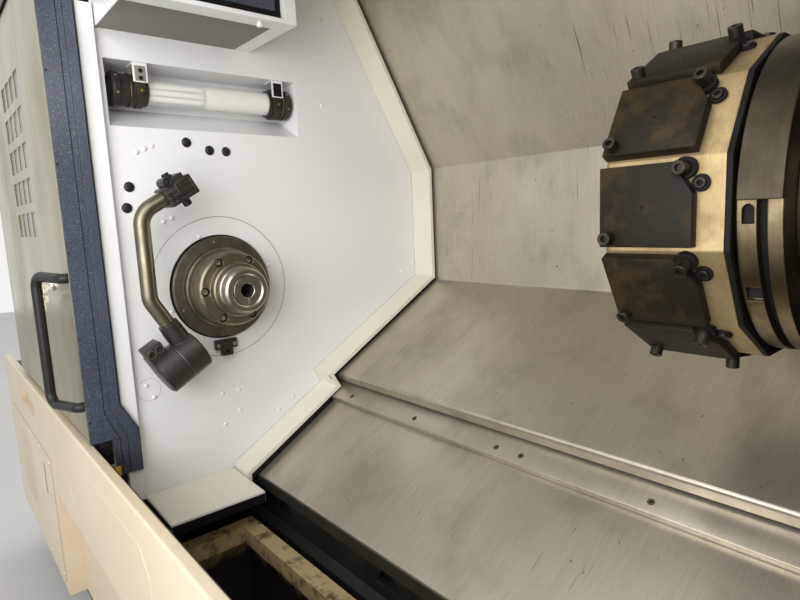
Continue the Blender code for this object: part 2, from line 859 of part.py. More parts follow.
SADDLE_LEFT = 0.980
SADDLE_RIGHT = 1.356
TOWER_LEFT = 1.030
TOWER_RIGHT = 1.310
TOWER_U = (0.130, 0.470)
TOWER_TOP_N = -0.200
SADDLE_LOW_N = -0.404
SADDLE_FLAT_N = COVER_N - COVER_SHEET - 0.0100
CROSS_RAIL_X = (1.080, 1.260)
CROSS_RAIL_TOP_N = -0.182
SLIDE_CLEARANCE = 0.0005
COVER_LEFT_END = -0.040
COVER_RIGHT_END = 1.873


def rail_groove(u):
    """Outline of the groove of a saddle block that runs on the rail at U."""
    half = RAIL_WIDTH / 2 + SLIDE_CLEARANCE
    return rect(u - half, BED_N - 0.01, u + half, RAIL_TOP_N + SLIDE_CLEARANCE)


def saddle(axis):
    """The saddle: blocks on the bed rails, a plate under the covers, a tower with the cross rails."""
    low_u, high_u = RAIL_U[0] - 0.035, RAIL_U[1] + 0.035
    plate = box((SADDLE_LEFT, low_u, -0.372), (SADDLE_RIGHT, high_u, SADDLE_FLAT_N))
    body = add("saddle", plate, CAST_IRON, axis, SLANT)
    blocks = []
    for u in RAIL_U:
        for x in (SADDLE_LEFT, SADDLE_RIGHT - 0.110):
            blocks.append(((x, u - 0.035, SADDLE_LOW_N), (x + 0.110, u + 0.035, -0.366)))
    join(body, boxes(blocks), SLANT)
    tower = [
        (TOWER_U[0], SADDLE_FLAT_N - 0.005),
        (TOWER_U[1], SADDLE_FLAT_N - 0.005),
        (TOWER_U[1], TOWER_TOP_N - 0.030),
        (TOWER_U[1] - 0.030, TOWER_TOP_N),
        (TOWER_U[0] + 0.020, TOWER_TOP_N),
        (TOWER_U[0], TOWER_TOP_N - 0.020),
    ]
    join(body, prism(tower, TOWER_LEFT, TOWER_RIGHT), SLANT)
    rails = []
    for x in CROSS_RAIL_X:
        rail_low = (x - 0.014, TOWER_U[0] + 0.021, TOWER_TOP_N - 0.004)
        rails.append((rail_low, (x + 0.014, TOWER_U[1] - 0.031, CROSS_RAIL_TOP_N)))
    join(body, boxes(rails), SLANT)
    grooves = bmesh.new()
    for u in RAIL_U:
        put_prism(grooves, rail_groove(u), SADDLE_LEFT - 0.01, SADDLE_RIGHT + 0.01)
    cut(body, grooves, SLANT)


def saddle_covers(axis):
    """The folded stainless cover that travels with the saddle and slides in behind both walls."""
    foot = (COVER_BACK, slant_at(COVER_BACK, COVER_N))
    knee = (COVER_BACK, BACK_WALL_TOP + 0.005)
    top_z = CEILING - 0.010
    line = [
        (lean_at(top_z, *knee), top_z),
        knee,
        foot,
        from_slant(COVER_LIP_U, COVER_N),
        from_slant(COVER_LIP_U, COVER_N - COVER_LIP_DROP),
    ]
    cover = add("saddle_covers", prism(folded(line, COVER_SHEET), COVER_LEFT_END, COVER_RIGHT_END), STAINLESS, axis)
    grow = GAP
    low = SADDLE_FLAT_N - 0.004
    window = box(
        (TOWER_LEFT - grow, TOWER_U[0] - grow, low),
        (TOWER_RIGHT + grow, TOWER_U[1] + grow, COVER_N + 0.02),
    )
    cut(cover, window, SLANT)


def lower_cover():
    """The fixed lower cover: a folded sheet from the guide strip down to the front of the bed."""
    low = from_slant(LOWER_LOW_U, LOWER_N)
    line = [
        from_slant(STRIP_LOW_U + 0.028, LOWER_N),
        low,
        (low[0], low[1] - 0.028),
    ]
    sheet = prism(folded(line, SHEET), -0.008, RIGHT_WALL - 0.004)
    add("lower_cover", sheet, STAINLESS)


def guide_strip():
    """The strip between the covers: a bar screwed to the bed, which overlaps the lower cover."""
    step_u = STRIP_LOW_U + 0.029
    outline = [
        (STRIP_LOW_U, STRIP_N),
        (STRIP_LOW_U, LOWER_N + GAP),
        (step_u, LOWER_N + GAP),
        (step_u, BED_N + GAP),
        (STRIP_HIGH_U, BED_N + GAP),
        (STRIP_HIGH_U, STRIP_N),
    ]
    add("guide_strip", prism(outline, -0.008, RIGHT_WALL - 0.004), STAINLESS, frame=SLANT)


CROSS_SLIDE_LEFT = 1.045
CROSS_SLIDE_RIGHT = 1.295


def cross_slide(axis):
    """The cross slide: it runs on the tower's rails and carries the turret housing."""
    low = TOWER_TOP_N + 0.0012
    outline = [
        (0.100, low),
        (0.420, low),
        (0.420, -0.150),
        (0.395, -0.128),
        (0.125, -0.128),
        (0.100, -0.150),
    ]
    slide = add("cross_slide", prism(outline, CROSS_SLIDE_LEFT, CROSS_SLIDE_RIGHT), CAST_IRON, axis, SLANT)
    grooves = []
    for x in CROSS_RAIL_X:
        half = 0.014 + SLIDE_CLEARANCE
        grooves.append(((x - half, 0.05, low - 0.01), (x + half, 0.47, CROSS_RAIL_TOP_N + SLIDE_CLEARANCE)))
    cut(slide, boxes(grooves), SLANT)


HOUSING_RADIUS = 0.160
HOUSING_START = TURRET_FRONT + TURRET_THICK + TURRET_CLEARANCE
HOUSING_END = 1.290
INDEX_MOTOR_END = 1.330
RING_WIDTH = 0.0185
RING_GROOVE = 0.0080
SECOND_RING_WIDTH = 0.0125
BAND_RISE = 0.0065


def turret_housing(axis):
    """The turret housing: bearing rings behind the disc, a round body, its foot and the index motor."""
    centre = (0, TURRET_U, 0)
    ring_end = HOUSING_START + RING_WIDTH
    second_start = ring_end + RING_GROOVE
    second_end = second_start + SECOND_RING_WIDTH
    profile = [
        (HOUSING_START, 0),
        (HOUSING_START, HOUSING_RADIUS - 0.002),
        (HOUSING_START + 0.002, HOUSING_RADIUS),
        (ring_end, HOUSING_RADIUS),
        (ring_end, HOUSING_RADIUS - 0.010),
        (second_start, HOUSING_RADIUS - 0.010),
        (second_start, HOUSING_RADIUS),
        (second_end, HOUSING_RADIUS),
        (second_end, 0.126),
        (HOUSING_END - 0.020, 0.124),
        (HOUSING_END, 0.105),
        (HOUSING_END, 0.070),
        (INDEX_MOTOR_END, 0.068),
        (INDEX_MOTOR_END, 0),
    ]
    housing = add("turret_housing", turned(profile, 36, centre), STEEL, axis, SLANT, 25)
    foot = [
        (0.110, -0.1277),
        (0.410, -0.1277),
        (0.400, -0.100),
        (0.375, 0.020),
        (0.150, 0.020),
        (0.120, -0.100),
    ]
    join(housing, prism(foot, 1.055, 1.265), SLANT)
    bm = bmesh.new()
    arc = []
    outer = HOUSING_RADIUS + BAND_RISE
    band_turn = BED_SLOPE + 0.01
    for i in range(15):
        angle = pi - pi * i / 14 - band_turn
        arc.append((TURRET_U + outer * cos(angle), outer * sin(angle)))
    inner = HOUSING_RADIUS - 0.006
    for i in range(15):
        angle = pi * i / 14 - band_turn
        arc.append((TURRET_U + inner * cos(angle), inner * sin(angle)))
    put_prism(bm, arc, HOUSING_START + 0.0035, second_end + 0.0010)
    join(housing, bm, SLANT)
    pockets = bmesh.new()
    y, z = from_slant(TURRET_U, 0)
    side = y - HOUSING_RADIUS
    middle = HOUSING_START + 0.0115
    half = 0.0050
    round_top = [(middle - half, z - 0.0195), (middle + half, z - 0.0195)]
    for i in range(7):
        angle = pi * i / 6
        round_top.append((middle + half * cos(angle), z - 0.0070 + half * sin(angle)))
    put_prism(pockets, round_top, side - 0.02, side + 0.014, "Y")
    put_prism(pockets, rect(middle - 0.0065, z - 0.093, middle + 0.0065, z - 0.079), side - 0.02, side + 0.040, "Y")
    cut(housing, pockets)


PLATE_RISE = 0.011
PLATE_HALF = 0.0405
PLATE_LENGTH = 0.0935
CORNER_CUT = (0.019, 0.030)
HUB_CAP_RISE = 0.012
REAR_BEVEL = 0.0055
SCREW_RADIUS = 0.0070
SCREW_RISE = 0.010


def turret(axis):
    """The turret disc with a flat for each station, its cover plates and their screws."""
    centre = (0, TURRET_U, 0)
    corner = TURRET_FLAT / cos(pi / TURRET_STATIONS)
    end = TURRET_FRONT + TURRET_THICK
    profile = [
        (TURRET_FRONT - HUB_CAP_RISE, 0),
        (TURRET_FRONT - HUB_CAP_RISE, 0.062),
        (TURRET_FRONT, 0.070),
        (TURRET_FRONT, corner * 0.985),
        (TURRET_FRONT + 0.003, corner),
        (end - REAR_BEVEL, corner),
        (end, corner * 0.950),
        (end, 0),
    ]
    turn = pi / TURRET_STATIONS - BED_SLOPE
    disc = add("turret_disc", turned(profile, TURRET_STATIONS, centre, "X", turn), STEEL, axis, SLANT)
    x0 = TURRET_FRONT + 0.0005
    x1 = x0 + PLATE_LENGTH
    outline = [
        (x0, -PLATE_HALF),
        (x1, -PLATE_HALF),
        (x1, PLATE_HALF - CORNER_CUT[1]),
        (x1 - CORNER_CUT[0], PLATE_HALF),
        (x0, PLATE_HALF),
    ]
    screws = ((x0 + 0.010, -PLATE_HALF + 0.009), (x1 - 0.0095, PLATE_HALF - 0.0065))
    plates = bmesh.new()
    heads = bmesh.new()
    hub = Vector(centre)
    low = TURRET_FLAT - 0.002
    top = TURRET_FLAT + PLATE_RISE
    for i in range(TURRET_STATIONS):
        turn = Matrix.Rotation(2 * pi * i / TURRET_STATIONS - BED_SLOPE, 4, "X")
        frame = Matrix.Translation(hub) @ turn
        rings = []
        for radius in (low, top):
            rings.append([frame @ Vector((x, -radius, t)) for x, t in outline])
        lofted(plates, rings[0], rings[1])
        for x, t in screws:
            loops = []
            for radius in (low + 0.0005, top + SCREW_RISE):
                loop = []
                for k in range(8):
                    angle = 2 * pi * k / 8
                    point = (x + SCREW_RADIUS * cos(angle), -radius, t + SCREW_RADIUS * sin(angle))
                    loop.append(frame @ Vector(point))
                loops.append(loop)
            lofted(heads, loops[0], loops[1])
    join(disc, plates, SLANT)
    join(disc, heads, SLANT)


# Chip trough

TROUGH_X = (0.075, 1.785)
TROUGH_Y = (-0.262, -0.012)
TROUGH_TOP = -0.495
BEAM = 0.034


def chip_trough():
    """The chip trough: a sheet pan hung in a heavy yellow frame."""
    floor = BASE_PLATE_TOP + GAP
    x0, x1 = TROUGH_X
    y0, y1 = TROUGH_Y
    inset = 0.012
    pan = box((x0 + inset, y0 + inset, floor), (x1 - inset, y1 - inset, TROUGH_TOP - BEAM + 0.005))
    trough = add("chip_trough", pan, YELLOW_PAINT)
    join(trough, box((x0, y0, TROUGH_TOP - BEAM), (x1, y1, TROUGH_TOP)))
    inner = inset + SHEET
    hollow = boxes(
        (
            ((x0 + inner, y0 + inner, floor + SHEET), (x1 - inner, y1 - inner, TROUGH_TOP - BEAM)),
        )
    )
    cut(trough, hollow)
    cut(trough, box((x0 + BEAM, y0 + BEAM, TROUGH_TOP - BEAM - 0.01), (x1 - BEAM, y1 - BEAM, TROUGH_TOP + 0.01)))


def strainer_plate():
    """The slotted plate on the floor of the trough, on folded feet."""
    inner = 0.012 + SHEET + GAP
    x0, x1 = TROUGH_X[0] + inner, TROUGH_X[1] - inner
    y0, y1 = TROUGH_Y[0] + inner, TROUGH_Y[1] - inner
    low = BASE_PLATE_TOP + 2 * GAP + SHEET
    top = low + 0.040
    outline = folded([(y0, low), (y0, top), (y1, top), (y1, low)], -SHEET)
    plate = add("strainer_plate", prism(outline, x0, x1), STAINLESS)
    slots = bmesh.new()
    pitch = 0.105
    count = int((x1 - x0 - 0.06) / pitch)
    for i in range(count):
        x = x0 + 0.05 + pitch * i
        for y in (y0 + 0.050, y1 - 0.050):
            put_prism(slots, rect(y - 0.006, top - 0.01, y + 0.006, top + 0.01), x, x + 0.070)
    cut(plate, slots)


# Enclosure

HATCH_X = (-1.075, -0.420)
HATCH_Z = (-0.755, -0.425)
POCKET_IN_COVER = ((-0.850, -0.360), (-0.590, -0.312))
POCKET_PAN = 0.017
TOE_X = (-0.390, 0.760)
TOE_TOP = -0.497
TOE_DEPTH = BASE_FRONT - GAP - COVER_FRONT
FOLD_RADIUS = 0.004


def front_cover():
    """The lower front cover: one folded sheet with a rounded top band, a hand pocket and a toe recess."""
    y0 = COVER_FRONT
    line = [(y0 + COVER_BAND, COVER_TOP - 0.024), (y0 + COVER_BAND, COVER_TOP)]
    for i in range(4):
        angle = pi / 2 + pi / 2 * i / 3
        line.append(
            (y0 + FOLD_RADIUS + FOLD_RADIUS * cos(angle), COVER_TOP - FOLD_RADIUS + FOLD_RADIUS * sin(angle))
        )
    line += [(y0, COVER_BOTTOM), (y0 + 0.030, COVER_BOTTOM)]
    cover = add("front_cover", prism(folded(line, 0.0025), -WALL_TO_LEFT_END, WALL_TO_RIGHT_END), BEIGE_PAINT)
    (px0, pz0), (px1, pz1) = POCKET_IN_COVER
    join(cover, box((px0 - SHEET, y0 + 0.001, pz0 - SHEET), (px1 + SHEET, y0 + POCKET_PAN, pz1 + SHEET)))
    cut(cover, box((px0, y0 - 0.01, pz0), (px1, y0 + POCKET_PAN - SHEET, pz1)))
    x0, x1 = TOE_X
    low = COVER_BOTTOM - 0.01
    join(cover, box((x0 - SHEET, y0 + 0.001, COVER_BOTTOM + 0.0005), (x1 + SHEET, y0 + TOE_DEPTH, TOE_TOP + SHEET)))
    cut(cover, box((x0, y0 - 0.01, low), (x1, y0 + TOE_DEPTH - SHEET, TOE_TOP)))


def front_hatch():
    """The screwed hatch on the front cover, with louvre slots and a hand hole."""
    back = COVER_FRONT - GAP
    (x0, x1), (z0, z1) = HATCH_X, HATCH_Z
    hatch = add("front_hatch", box((x0, back - 0.002, z0), (x1, back, z1)), BEIGE_PAINT)
    slots = bmesh.new()
    for i in range(8):
        x = x0 + 0.110 + 0.030 * i
        put_prism(slots, rect(x, z1 - 0.260, x + 0.008, z1 - 0.050), back - 0.01, back + 0.01, "Y")
    x = x1 - 0.120
    put_prism(slots, rect(x, z1 - 0.130, x + 0.020, z1 - 0.040), back - 0.01, back + 0.01, "Y")
    cut(hatch, slots)


def side_outline(front_gap=GAP):
    """Outline of a side cover: it steps back above the front cover, where the door runs."""
    back = REAR_PANEL - SHEET - GAP
    low_front = COVER_FRONT + 0.0025 + front_gap
    return [
        (low_front + 0.0275, COVER_BOTTOM),
        (back, COVER_BOTTOM),
        (back, ROOF_TOP - SHEET - GAP),
        (JAMB_FRONT + 0.0015, ROOF_TOP - SHEET - GAP),
        (JAMB_FRONT + 0.0015, COVER_TOP - 0.026),
        (low_front + 0.0275, COVER_TOP - 0.026),
    ]


PANEL_Y = (-0.2285, -0.2255)


def enclosure():
    """Side covers, front panels, rear cover and roof."""
    left, right = -WALL_TO_LEFT_END, WALL_TO_RIGHT_END
    add("left_side_cover", prism(side_outline(), left, left + SHEET), WHITE_PAINT)
    add("right_side_cover", prism(side_outline(), right - SHEET, right), WHITE_PAINT)
    inner_left, inner_right = left + SHEET + GAP, right - SHEET - GAP
    y0, y1 = PANEL_Y
    top = ROOF_TOP - SHEET - GAP
    bottom = COVER_TOP - 0.0235
    wall_side = -STOUT_SHEET - GAP
    panel = add("left_front_panel", box((inner_left, y0, bottom), (wall_side, y1, top)), WHITE_PAINT)
    join(panel, box((inner_left, y0, bottom), (inner_left + SHEET, y1 + 0.040, top)))
    head = [
        (wall_side + GAP, OPENING_TOP),
        (OPENING_RIGHT, OPENING_TOP),
        (OPENING_RIGHT, bottom),
        (inner_right, bottom),
        (inner_right, top),
        (wall_side + GAP, top),
    ]
    front = add("right_front_panel", prism(head, y0, y1, "Y"), WHITE_PAINT)
    jamb_end = (OPENING_RIGHT + SHEET, WALL_FRONT + 0.010, OPENING_TOP + 0.01)
    join(front, box((OPENING_RIGHT, y1 - 0.001, bottom), jamb_end))
    lintel_end = (OPENING_RIGHT + SHEET, WALL_FRONT - SHEET, OPENING_TOP + SHEET)
    join(front, box((wall_side + 2 * GAP, y1 - 0.001, OPENING_TOP), lintel_end))
    rear = add("rear_cover", box((left, REAR_PANEL - SHEET, COVER_BOTTOM), (right, REAR_PANEL, top)), WHITE_PAINT)
    vents = bmesh.new()
    for i in range(7):
        z = 0.42 + 0.036 * i
        for x in (1.28, 1.56):
            put_prism(vents, rect(x, z, x + 0.200, z + 0.009), REAR_PANEL - 0.02, REAR_PANEL + 0.02, "Y")
    cut(rear, vents)
    roof_low = ROOF_TOP - SHEET
    add("roof", box((left, y0, roof_low), (right, REAR_PANEL, ROOF_TOP)), WHITE_PAINT)
    wall = add("right_wall", prism(WALL_OUTLINE, RIGHT_WALL, RIGHT_WALL + STOUT_SHEET), WHITE_PAINT)
    seat = PANEL_Y[1] + GAP
    join(wall, box((RIGHT_WALL, seat, WALL_BOTTOM), (RIGHT_WALL + STOUT_SHEET, WALL_FRONT + 0.001, CEILING)))


ROOF_BOX_Y = (-0.1985, 0.106)
ROOF_BOX_DEPTH = 0.200
ROOF_BOX_DROP = 0.302
ROOF_BOX_LOW = CEILING - ROOF_BOX_DROP


def roof_box():
    """The white box that hangs from the roof beside the wall, with a framed face."""
    y0, y1 = ROOF_BOX_Y
    high = ROOF_TOP - SHEET - GAP
    hanging = add("roof_box", box((GAP, y0, ROOF_BOX_LOW), (ROOF_BOX_DEPTH, y1, high)), WHITE_PAINT)
    side, low = 0.025, 0.008
    room = ((y0 + side, ROOF_BOX_LOW + low), (y1 - side, high - side))
    (a, c), (b, d) = room
    cut(hanging, box((ROOF_BOX_DEPTH - 0.022, a, c), (ROOF_BOX_DEPTH + 0.05, b, d)))
    inset = 0.014
    panel = box((ROOF_BOX_DEPTH - 0.022 + GAP, a + inset, c + inset), (ROOF_BOX_DEPTH - 0.010, b - inset, d - inset))
    add("roof_box_panel", panel, BLUE_GREY_PAINT)


def door_rails():
    """The door's top channel and its bottom rail."""
    y_front, y_back = -0.2965, JAMB_FRONT + 0.0012
    z_low, z_high = DOOR_TOP + 0.003, DOOR_TOP + 0.058
    t = SHEET
    ledge = 0.0070
    ledge_z = z_low + 0.016
    channel = [
        (y_front, z_low),
        (y_front + t, z_low),
        (y_front + t, z_high - t),
        (y_back - t, z_high - t),
        (y_back - t, ledge_z + t),
        (y_back - t - ledge, ledge_z + t),
        (y_back - t - ledge, ledge_z),
        (y_back - t, ledge_z),
        (y_back - t, z_low),
        (y_back, z_low),
        (y_back, z_high),
        (y_front, z_high),
    ]
    left, right = -WALL_TO_LEFT_END + 0.008, OPENING_RIGHT + 0.040
    add("door_top_rail", prism(channel, left, right), DARK_STEEL)
    low = DOOR_BOTTOM - 0.060
    bar = rect(COVER_FRONT + 0.0025 + GAP, low - 0.030, -0.2575, low)
    rail = add("door_bottom_rail", prism(bar, left, right), DARK_STEEL)
    (x0, z0), (x1, z1) = POCKET_IN_COVER
    room = SHEET + 2 * GAP
    back = COVER_FRONT + POCKET_PAN + GAP
    cut(rail, box((x0 - room, COVER_FRONT, z0 - room), (x1 + room, back, z1 + room)))


# Door

STILE = 0.060
END_PLATE_X = 0.0140
GRID_X = (-0.235, -0.495)
GRID_TOP = 0.469
GRID_ROWS = 5
GRID_COLUMNS = 4
GRID_ROW_PITCH = 0.073
HOLE_HEIGHT = 0.052
HOLE_SHARE = 0.80


def door(axis):
    """The front leaf of the door: frame, end plate, pierced skin, pane, handle and guide shoes."""
    frame_front = DOOR_FRONT + 0.0020 + GAP
    frame_back = DOOR_FRONT + DOOR_THICK
    x0, x1 = -DOOR_WIDTH, END_PLATE_X
    outer = box((x0, frame_front, DOOR_BOTTOM), (x1 + 0.001, frame_back, DOOR_TOP))
    frame = add("door_frame", outer, BLUE_GREY_PAINT, axis)
    window = box(
        (x0 + STILE, frame_front - 0.01, DOOR_BOTTOM + 0.075),
        (x1 - STILE - 0.06, frame_back + 0.01, DOOR_TOP - STILE),
    )
    cut(frame, window)
    low_y, notch_z, toe_z = -0.251, DOOR_BOTTOM - 0.006, DOOR_BOTTOM - 0.080
    fold_y, lip_y = -0.225, -0.204
    plate = [
        (DOOR_FRONT + 0.0005, DOOR_TOP),
        (DOOR_FRONT + 0.0005, notch_z),
        (low_y, notch_z),
        (low_y, toe_z),
        (fold_y, toe_z),
        (fold_y, -0.269),
        (-0.2495, -0.208),
        (-0.2495, DOOR_TOP),
    ]
    join(frame, prism(plate, x1, x1 + SHEET))
    strip = [
        (-0.2505, DOOR_TOP),
        (-0.2505, -0.208),
        (fold_y - 0.001, -0.269),
        (fold_y - 0.001, toe_z),
        (lip_y, toe_z),
        (lip_y, -0.256),
        (-0.2330, -0.199),
        (-0.2330, DOOR_TOP),
    ]
    join(frame, prism(strip, x1, x1 + SHEET + 0.0025))
    skin = box((x0, DOOR_FRONT, DOOR_BOTTOM), (x1, DOOR_FRONT + 0.0020, DOOR_TOP))
    skin_obj = add("door_skin", skin, CHAMPAGNE_METAL, axis)
    holes = bmesh.new()
    pitch = (GRID_X[0] - GRID_X[1]) / GRID_COLUMNS
    for i in range(GRID_COLUMNS):
        for j in range(GRID_ROWS):
            x = GRID_X[1] + pitch * i
            z = GRID_TOP - GRID_ROW_PITCH * j
            corners = rect(x, z - HOLE_HEIGHT, x + pitch * HOLE_SHARE, z)
            put_prism(holes, corners, DOOR_FRONT - 0.01, DOOR_FRONT + 0.01, "Y")
    cut(skin_obj, holes)
    margin = 0.030
    pane = box(
        (GRID_X[1] - margin, frame_front, GRID_TOP - GRID_ROWS * GRID_ROW_PITCH - margin + 0.02),
        (GRID_X[0] + margin, frame_front + 0.005, GRID_TOP + margin),
    )
    add("door_window", pane, CLEAR_GLASS, axis)
    top, low = 0.048, -0.195
    seat = DOOR_FRONT - GAP
    bar = 0.0095
    points = [
        (0.004, seat - bar, top),
        (-0.085, -0.3300, top + 0.004),
        (-0.085, -0.3300, low - 0.004),
        (0.004, seat - bar, low),
    ]
    handle = swept(bent_path(points, 0.022, 4), bar, 12)
    add("door_handle", handle, BLACK_PLASTIC, axis, smooth=40)
    shoe_y0, shoe_y1 = -0.2790, -0.2620
    shoes = []
    for x in (x0 + 0.060, -0.070):
        shoes.append(((x, shoe_y0, DOOR_TOP - 0.002), (x + 0.060, shoe_y1, DOOR_TOP + 0.040)))
        shoes.append(((x, shoe_y0, DOOR_BOTTOM - 0.060 + GAP), (x + 0.060, shoe_y1, DOOR_BOTTOM + 0.002)))
    join(frame, boxes(shoes))


LOCK_X = -0.148
LOCK_Z = 0.026


def lock_key(axis):
    """The door's lock plug with the key in it and the spare on its ring."""
    seat = DOOR_FRONT - GAP
    plug = turned(
        [(seat, 0), (seat, 0.011), (seat - 0.005, 0.010), (seat - 0.005, 0)],
        16,
        (LOCK_X, 0, LOCK_Z),
        "Y",
    )
    key = add("lock_key", plug, NICKEL, axis, smooth=40)
    half = 0.0011
    join(key, box((LOCK_X - half, seat - 0.012, LOCK_Z - 0.004), (LOCK_X + half, seat - 0.004, LOCK_Z + 0.004)))
    join(key, rod(LOCK_X - half, LOCK_X + half, 0.0105, 16, (0, seat - 0.018, LOCK_Z - 0.004)))
    low = (LOCK_X - half * 1.2, seat - 0.023, LOCK_Z - 0.050)
    high = (LOCK_X + half * 1.2, seat - 0.014, LOCK_Z - 0.006)
    join(key, box(low, high))


def rear_leaf(axis):
    """The second door leaf, which follows the first at half its travel, hung from the channel's ledge."""
    y0, y1 = -0.2450, -0.2450 + REAR_LEAF_THICK
    leaf = add("rear_leaf", box((-DOOR_WIDTH - 0.003, y0, DOOR_BOTTOM), (0.0105, y1, DOOR_TOP)), BLUE_GREY_PAINT, axis)
    ledge_top = DOOR_TOP + 0.003 + 0.016 + SHEET
    hooks = []
    for x in (-DOOR_WIDTH + 0.060, -0.120):
        hooks.append(((x, y0, DOOR_TOP - 0.005), (x + 0.060, y0 + 0.0055, ledge_top + 0.012)))
        hooks.append(((x, y0 + 0.005, ledge_top + GAP), (x + 0.060, -0.2335, ledge_top + 0.012)))
    join(leaf, boxes(hooks[::2]))
    join(leaf, boxes(hooks[1::2]))


# Electrical cabinet

CABINET_X = (-0.420, 0.480)
CABINET_Z = (-0.780, 0.680)
CABINET_DEPTH = 0.400
CABINET_WALL = 0.020
DOOR_LEAF = 0.020


def cabinet():
    """The electrical cabinet on the back of the machine, open towards its door."""
    y0 = REAR_PANEL + GAP
    y1 = y0 + CABINET_DEPTH
    (x0, x1), (z0, z1) = CABINET_X, CABINET_Z
    shell = add("electrical_cabinet", box((x0, y0, z0), (x1, y1, z1)), BEIGE_PAINT)
    w = CABINET_WALL
    cut(shell, box((x0 + w, y0 + w, z0 + w), (x1 - w, y1 + 0.01, z1 - w)))


def cabinet_door(axis):
    """The cabinet's door, with a turned-back edge and its lock knob."""
    y0 = REAR_PANEL + CABINET_DEPTH + 3 * GAP
    (x0, x1), (z0, z1) = CABINET_X, CABINET_Z
    leaf = add("cabinet_door", box((x0, y0, z0 + 0.004), (x1, y0 + DOOR_LEAF, z1 - 0.004)), BEIGE_PAINT, axis)
    join(leaf, rod(y0 + DOOR_LEAF - 0.002, y0 + DOOR_LEAF + 0.008, 0.020, 20, (x1 - 0.060, 0, 0.05), "Y"))
    x = x1 - 0.060
    join(leaf, box((x - 0.005, y0 + DOOR_LEAF + 0.006, 0.02), (x + 0.005, y0 + DOOR_LEAF + 0.0115, 0.08)))


# Operator panel

PANEL_X = (1.300, 1.820)
PANEL_Z = (-0.140, 0.540)
PANEL_FACE = -0.318


E_STOP = (PANEL_X[1] - 0.060, PANEL_Z[0] + 0.330)
START = (PANEL_X[1] - 0.060, PANEL_Z[0] + 0.240)
FEED_KNOB = (PANEL_X[1] - 0.130, PANEL_Z[0] + 0.240)
HANDWHEEL = (PANEL_X[1] - 0.095, PANEL_Z[0] + 0.130)
CONTROLS = (
    ("e_stop_button", RED_PLASTIC, E_STOP, 0.019, 0.011, 0.012, 16),
    ("start_button", GREEN_PLASTIC, START, 0.012, 0.008, 0.005, 12),
    ("feed_knob", BLACK_PLASTIC, FEED_KNOB, 0.014, 0.009, 0.012, 12),
    ("handwheel", BLACK_PLASTIC, HANDWHEEL, 0.034, 0.014, 0.010, 24),
)
STEM_CLEARANCE = 0.0008
STEM_REACH = 0.004
STEM_HOLE_DEPTH = 0.014
NECK = 0.007


def operator_panel():
    """The operator panel: a console with a sloping foot, on the right front panel."""
    back = PANEL_Y[0] - GAP
    (x0, x1), (z0, z1) = PANEL_X, PANEL_Z
    outline = [(back, z0), (PANEL_FACE + 0.030, z0), (PANEL_FACE, z0 + 0.060), (PANEL_FACE, z1), (back, z1)]
    body = add("operator_panel", prism(outline, x0, x1), BEIGE_PAINT)
    cut(body, box((x0 + 0.060, PANEL_FACE - 0.01, z1 - 0.350), (x0 + 0.400, PANEL_FACE + 0.006, z1 - 0.060)))
    keys = bmesh.new()
    for i in range(4):
        for j in range(4):
            x = x0 + 0.080 + 0.040 * i
            z = z0 + 0.140 + 0.032 * j
            put_prism(keys, rect(x, z, x + 0.028, z + 0.022), PANEL_FACE - 0.0015, PANEL_FACE + 0.002, "Y")
    join(body, keys)
    holes = bmesh.new()
    low, high = PANEL_FACE - 0.01, PANEL_FACE + STEM_HOLE_DEPTH
    for _, _, (x, z), _, stem, _, steps in CONTROLS:
        radius = stem + STEM_CLEARANCE
        put_turned(holes, [(low, 0), (low, radius), (high, radius), (high, 0)], steps, (x, 0, z), "Y")
    cut(body, holes)
    screen = box(
        (x0 + 0.060 + GAP, PANEL_FACE + 0.001, z1 - 0.350 + GAP),
        (x0 + 0.400 - GAP, PANEL_FACE + 0.006 - GAP, z1 - 0.060 - GAP),
    )
    add("panel_screen", screen, BLACK_PLASTIC)


def controls():
    """Emergency stop, start button, feed knob and handwheel, each with its stem in a hole of the panel."""
    for name, finish, (x, z), radius, stem, height, steps in CONTROLS:
        neck = PANEL_FACE - NECK
        end = PANEL_FACE + STEM_REACH
        profile = [
            (end, 0),
            (end, stem),
            (neck, stem),
            (neck, radius),
            (neck - height + 0.002, radius),
            (neck - height, radius - 0.002),
            (neck - height, 0),
        ]
        axis = carrier(name + "_axis", (x, PANEL_FACE, z))
        add(name, turned(profile, steps, (x, 0, z), "Y"), finish, axis, smooth=40)


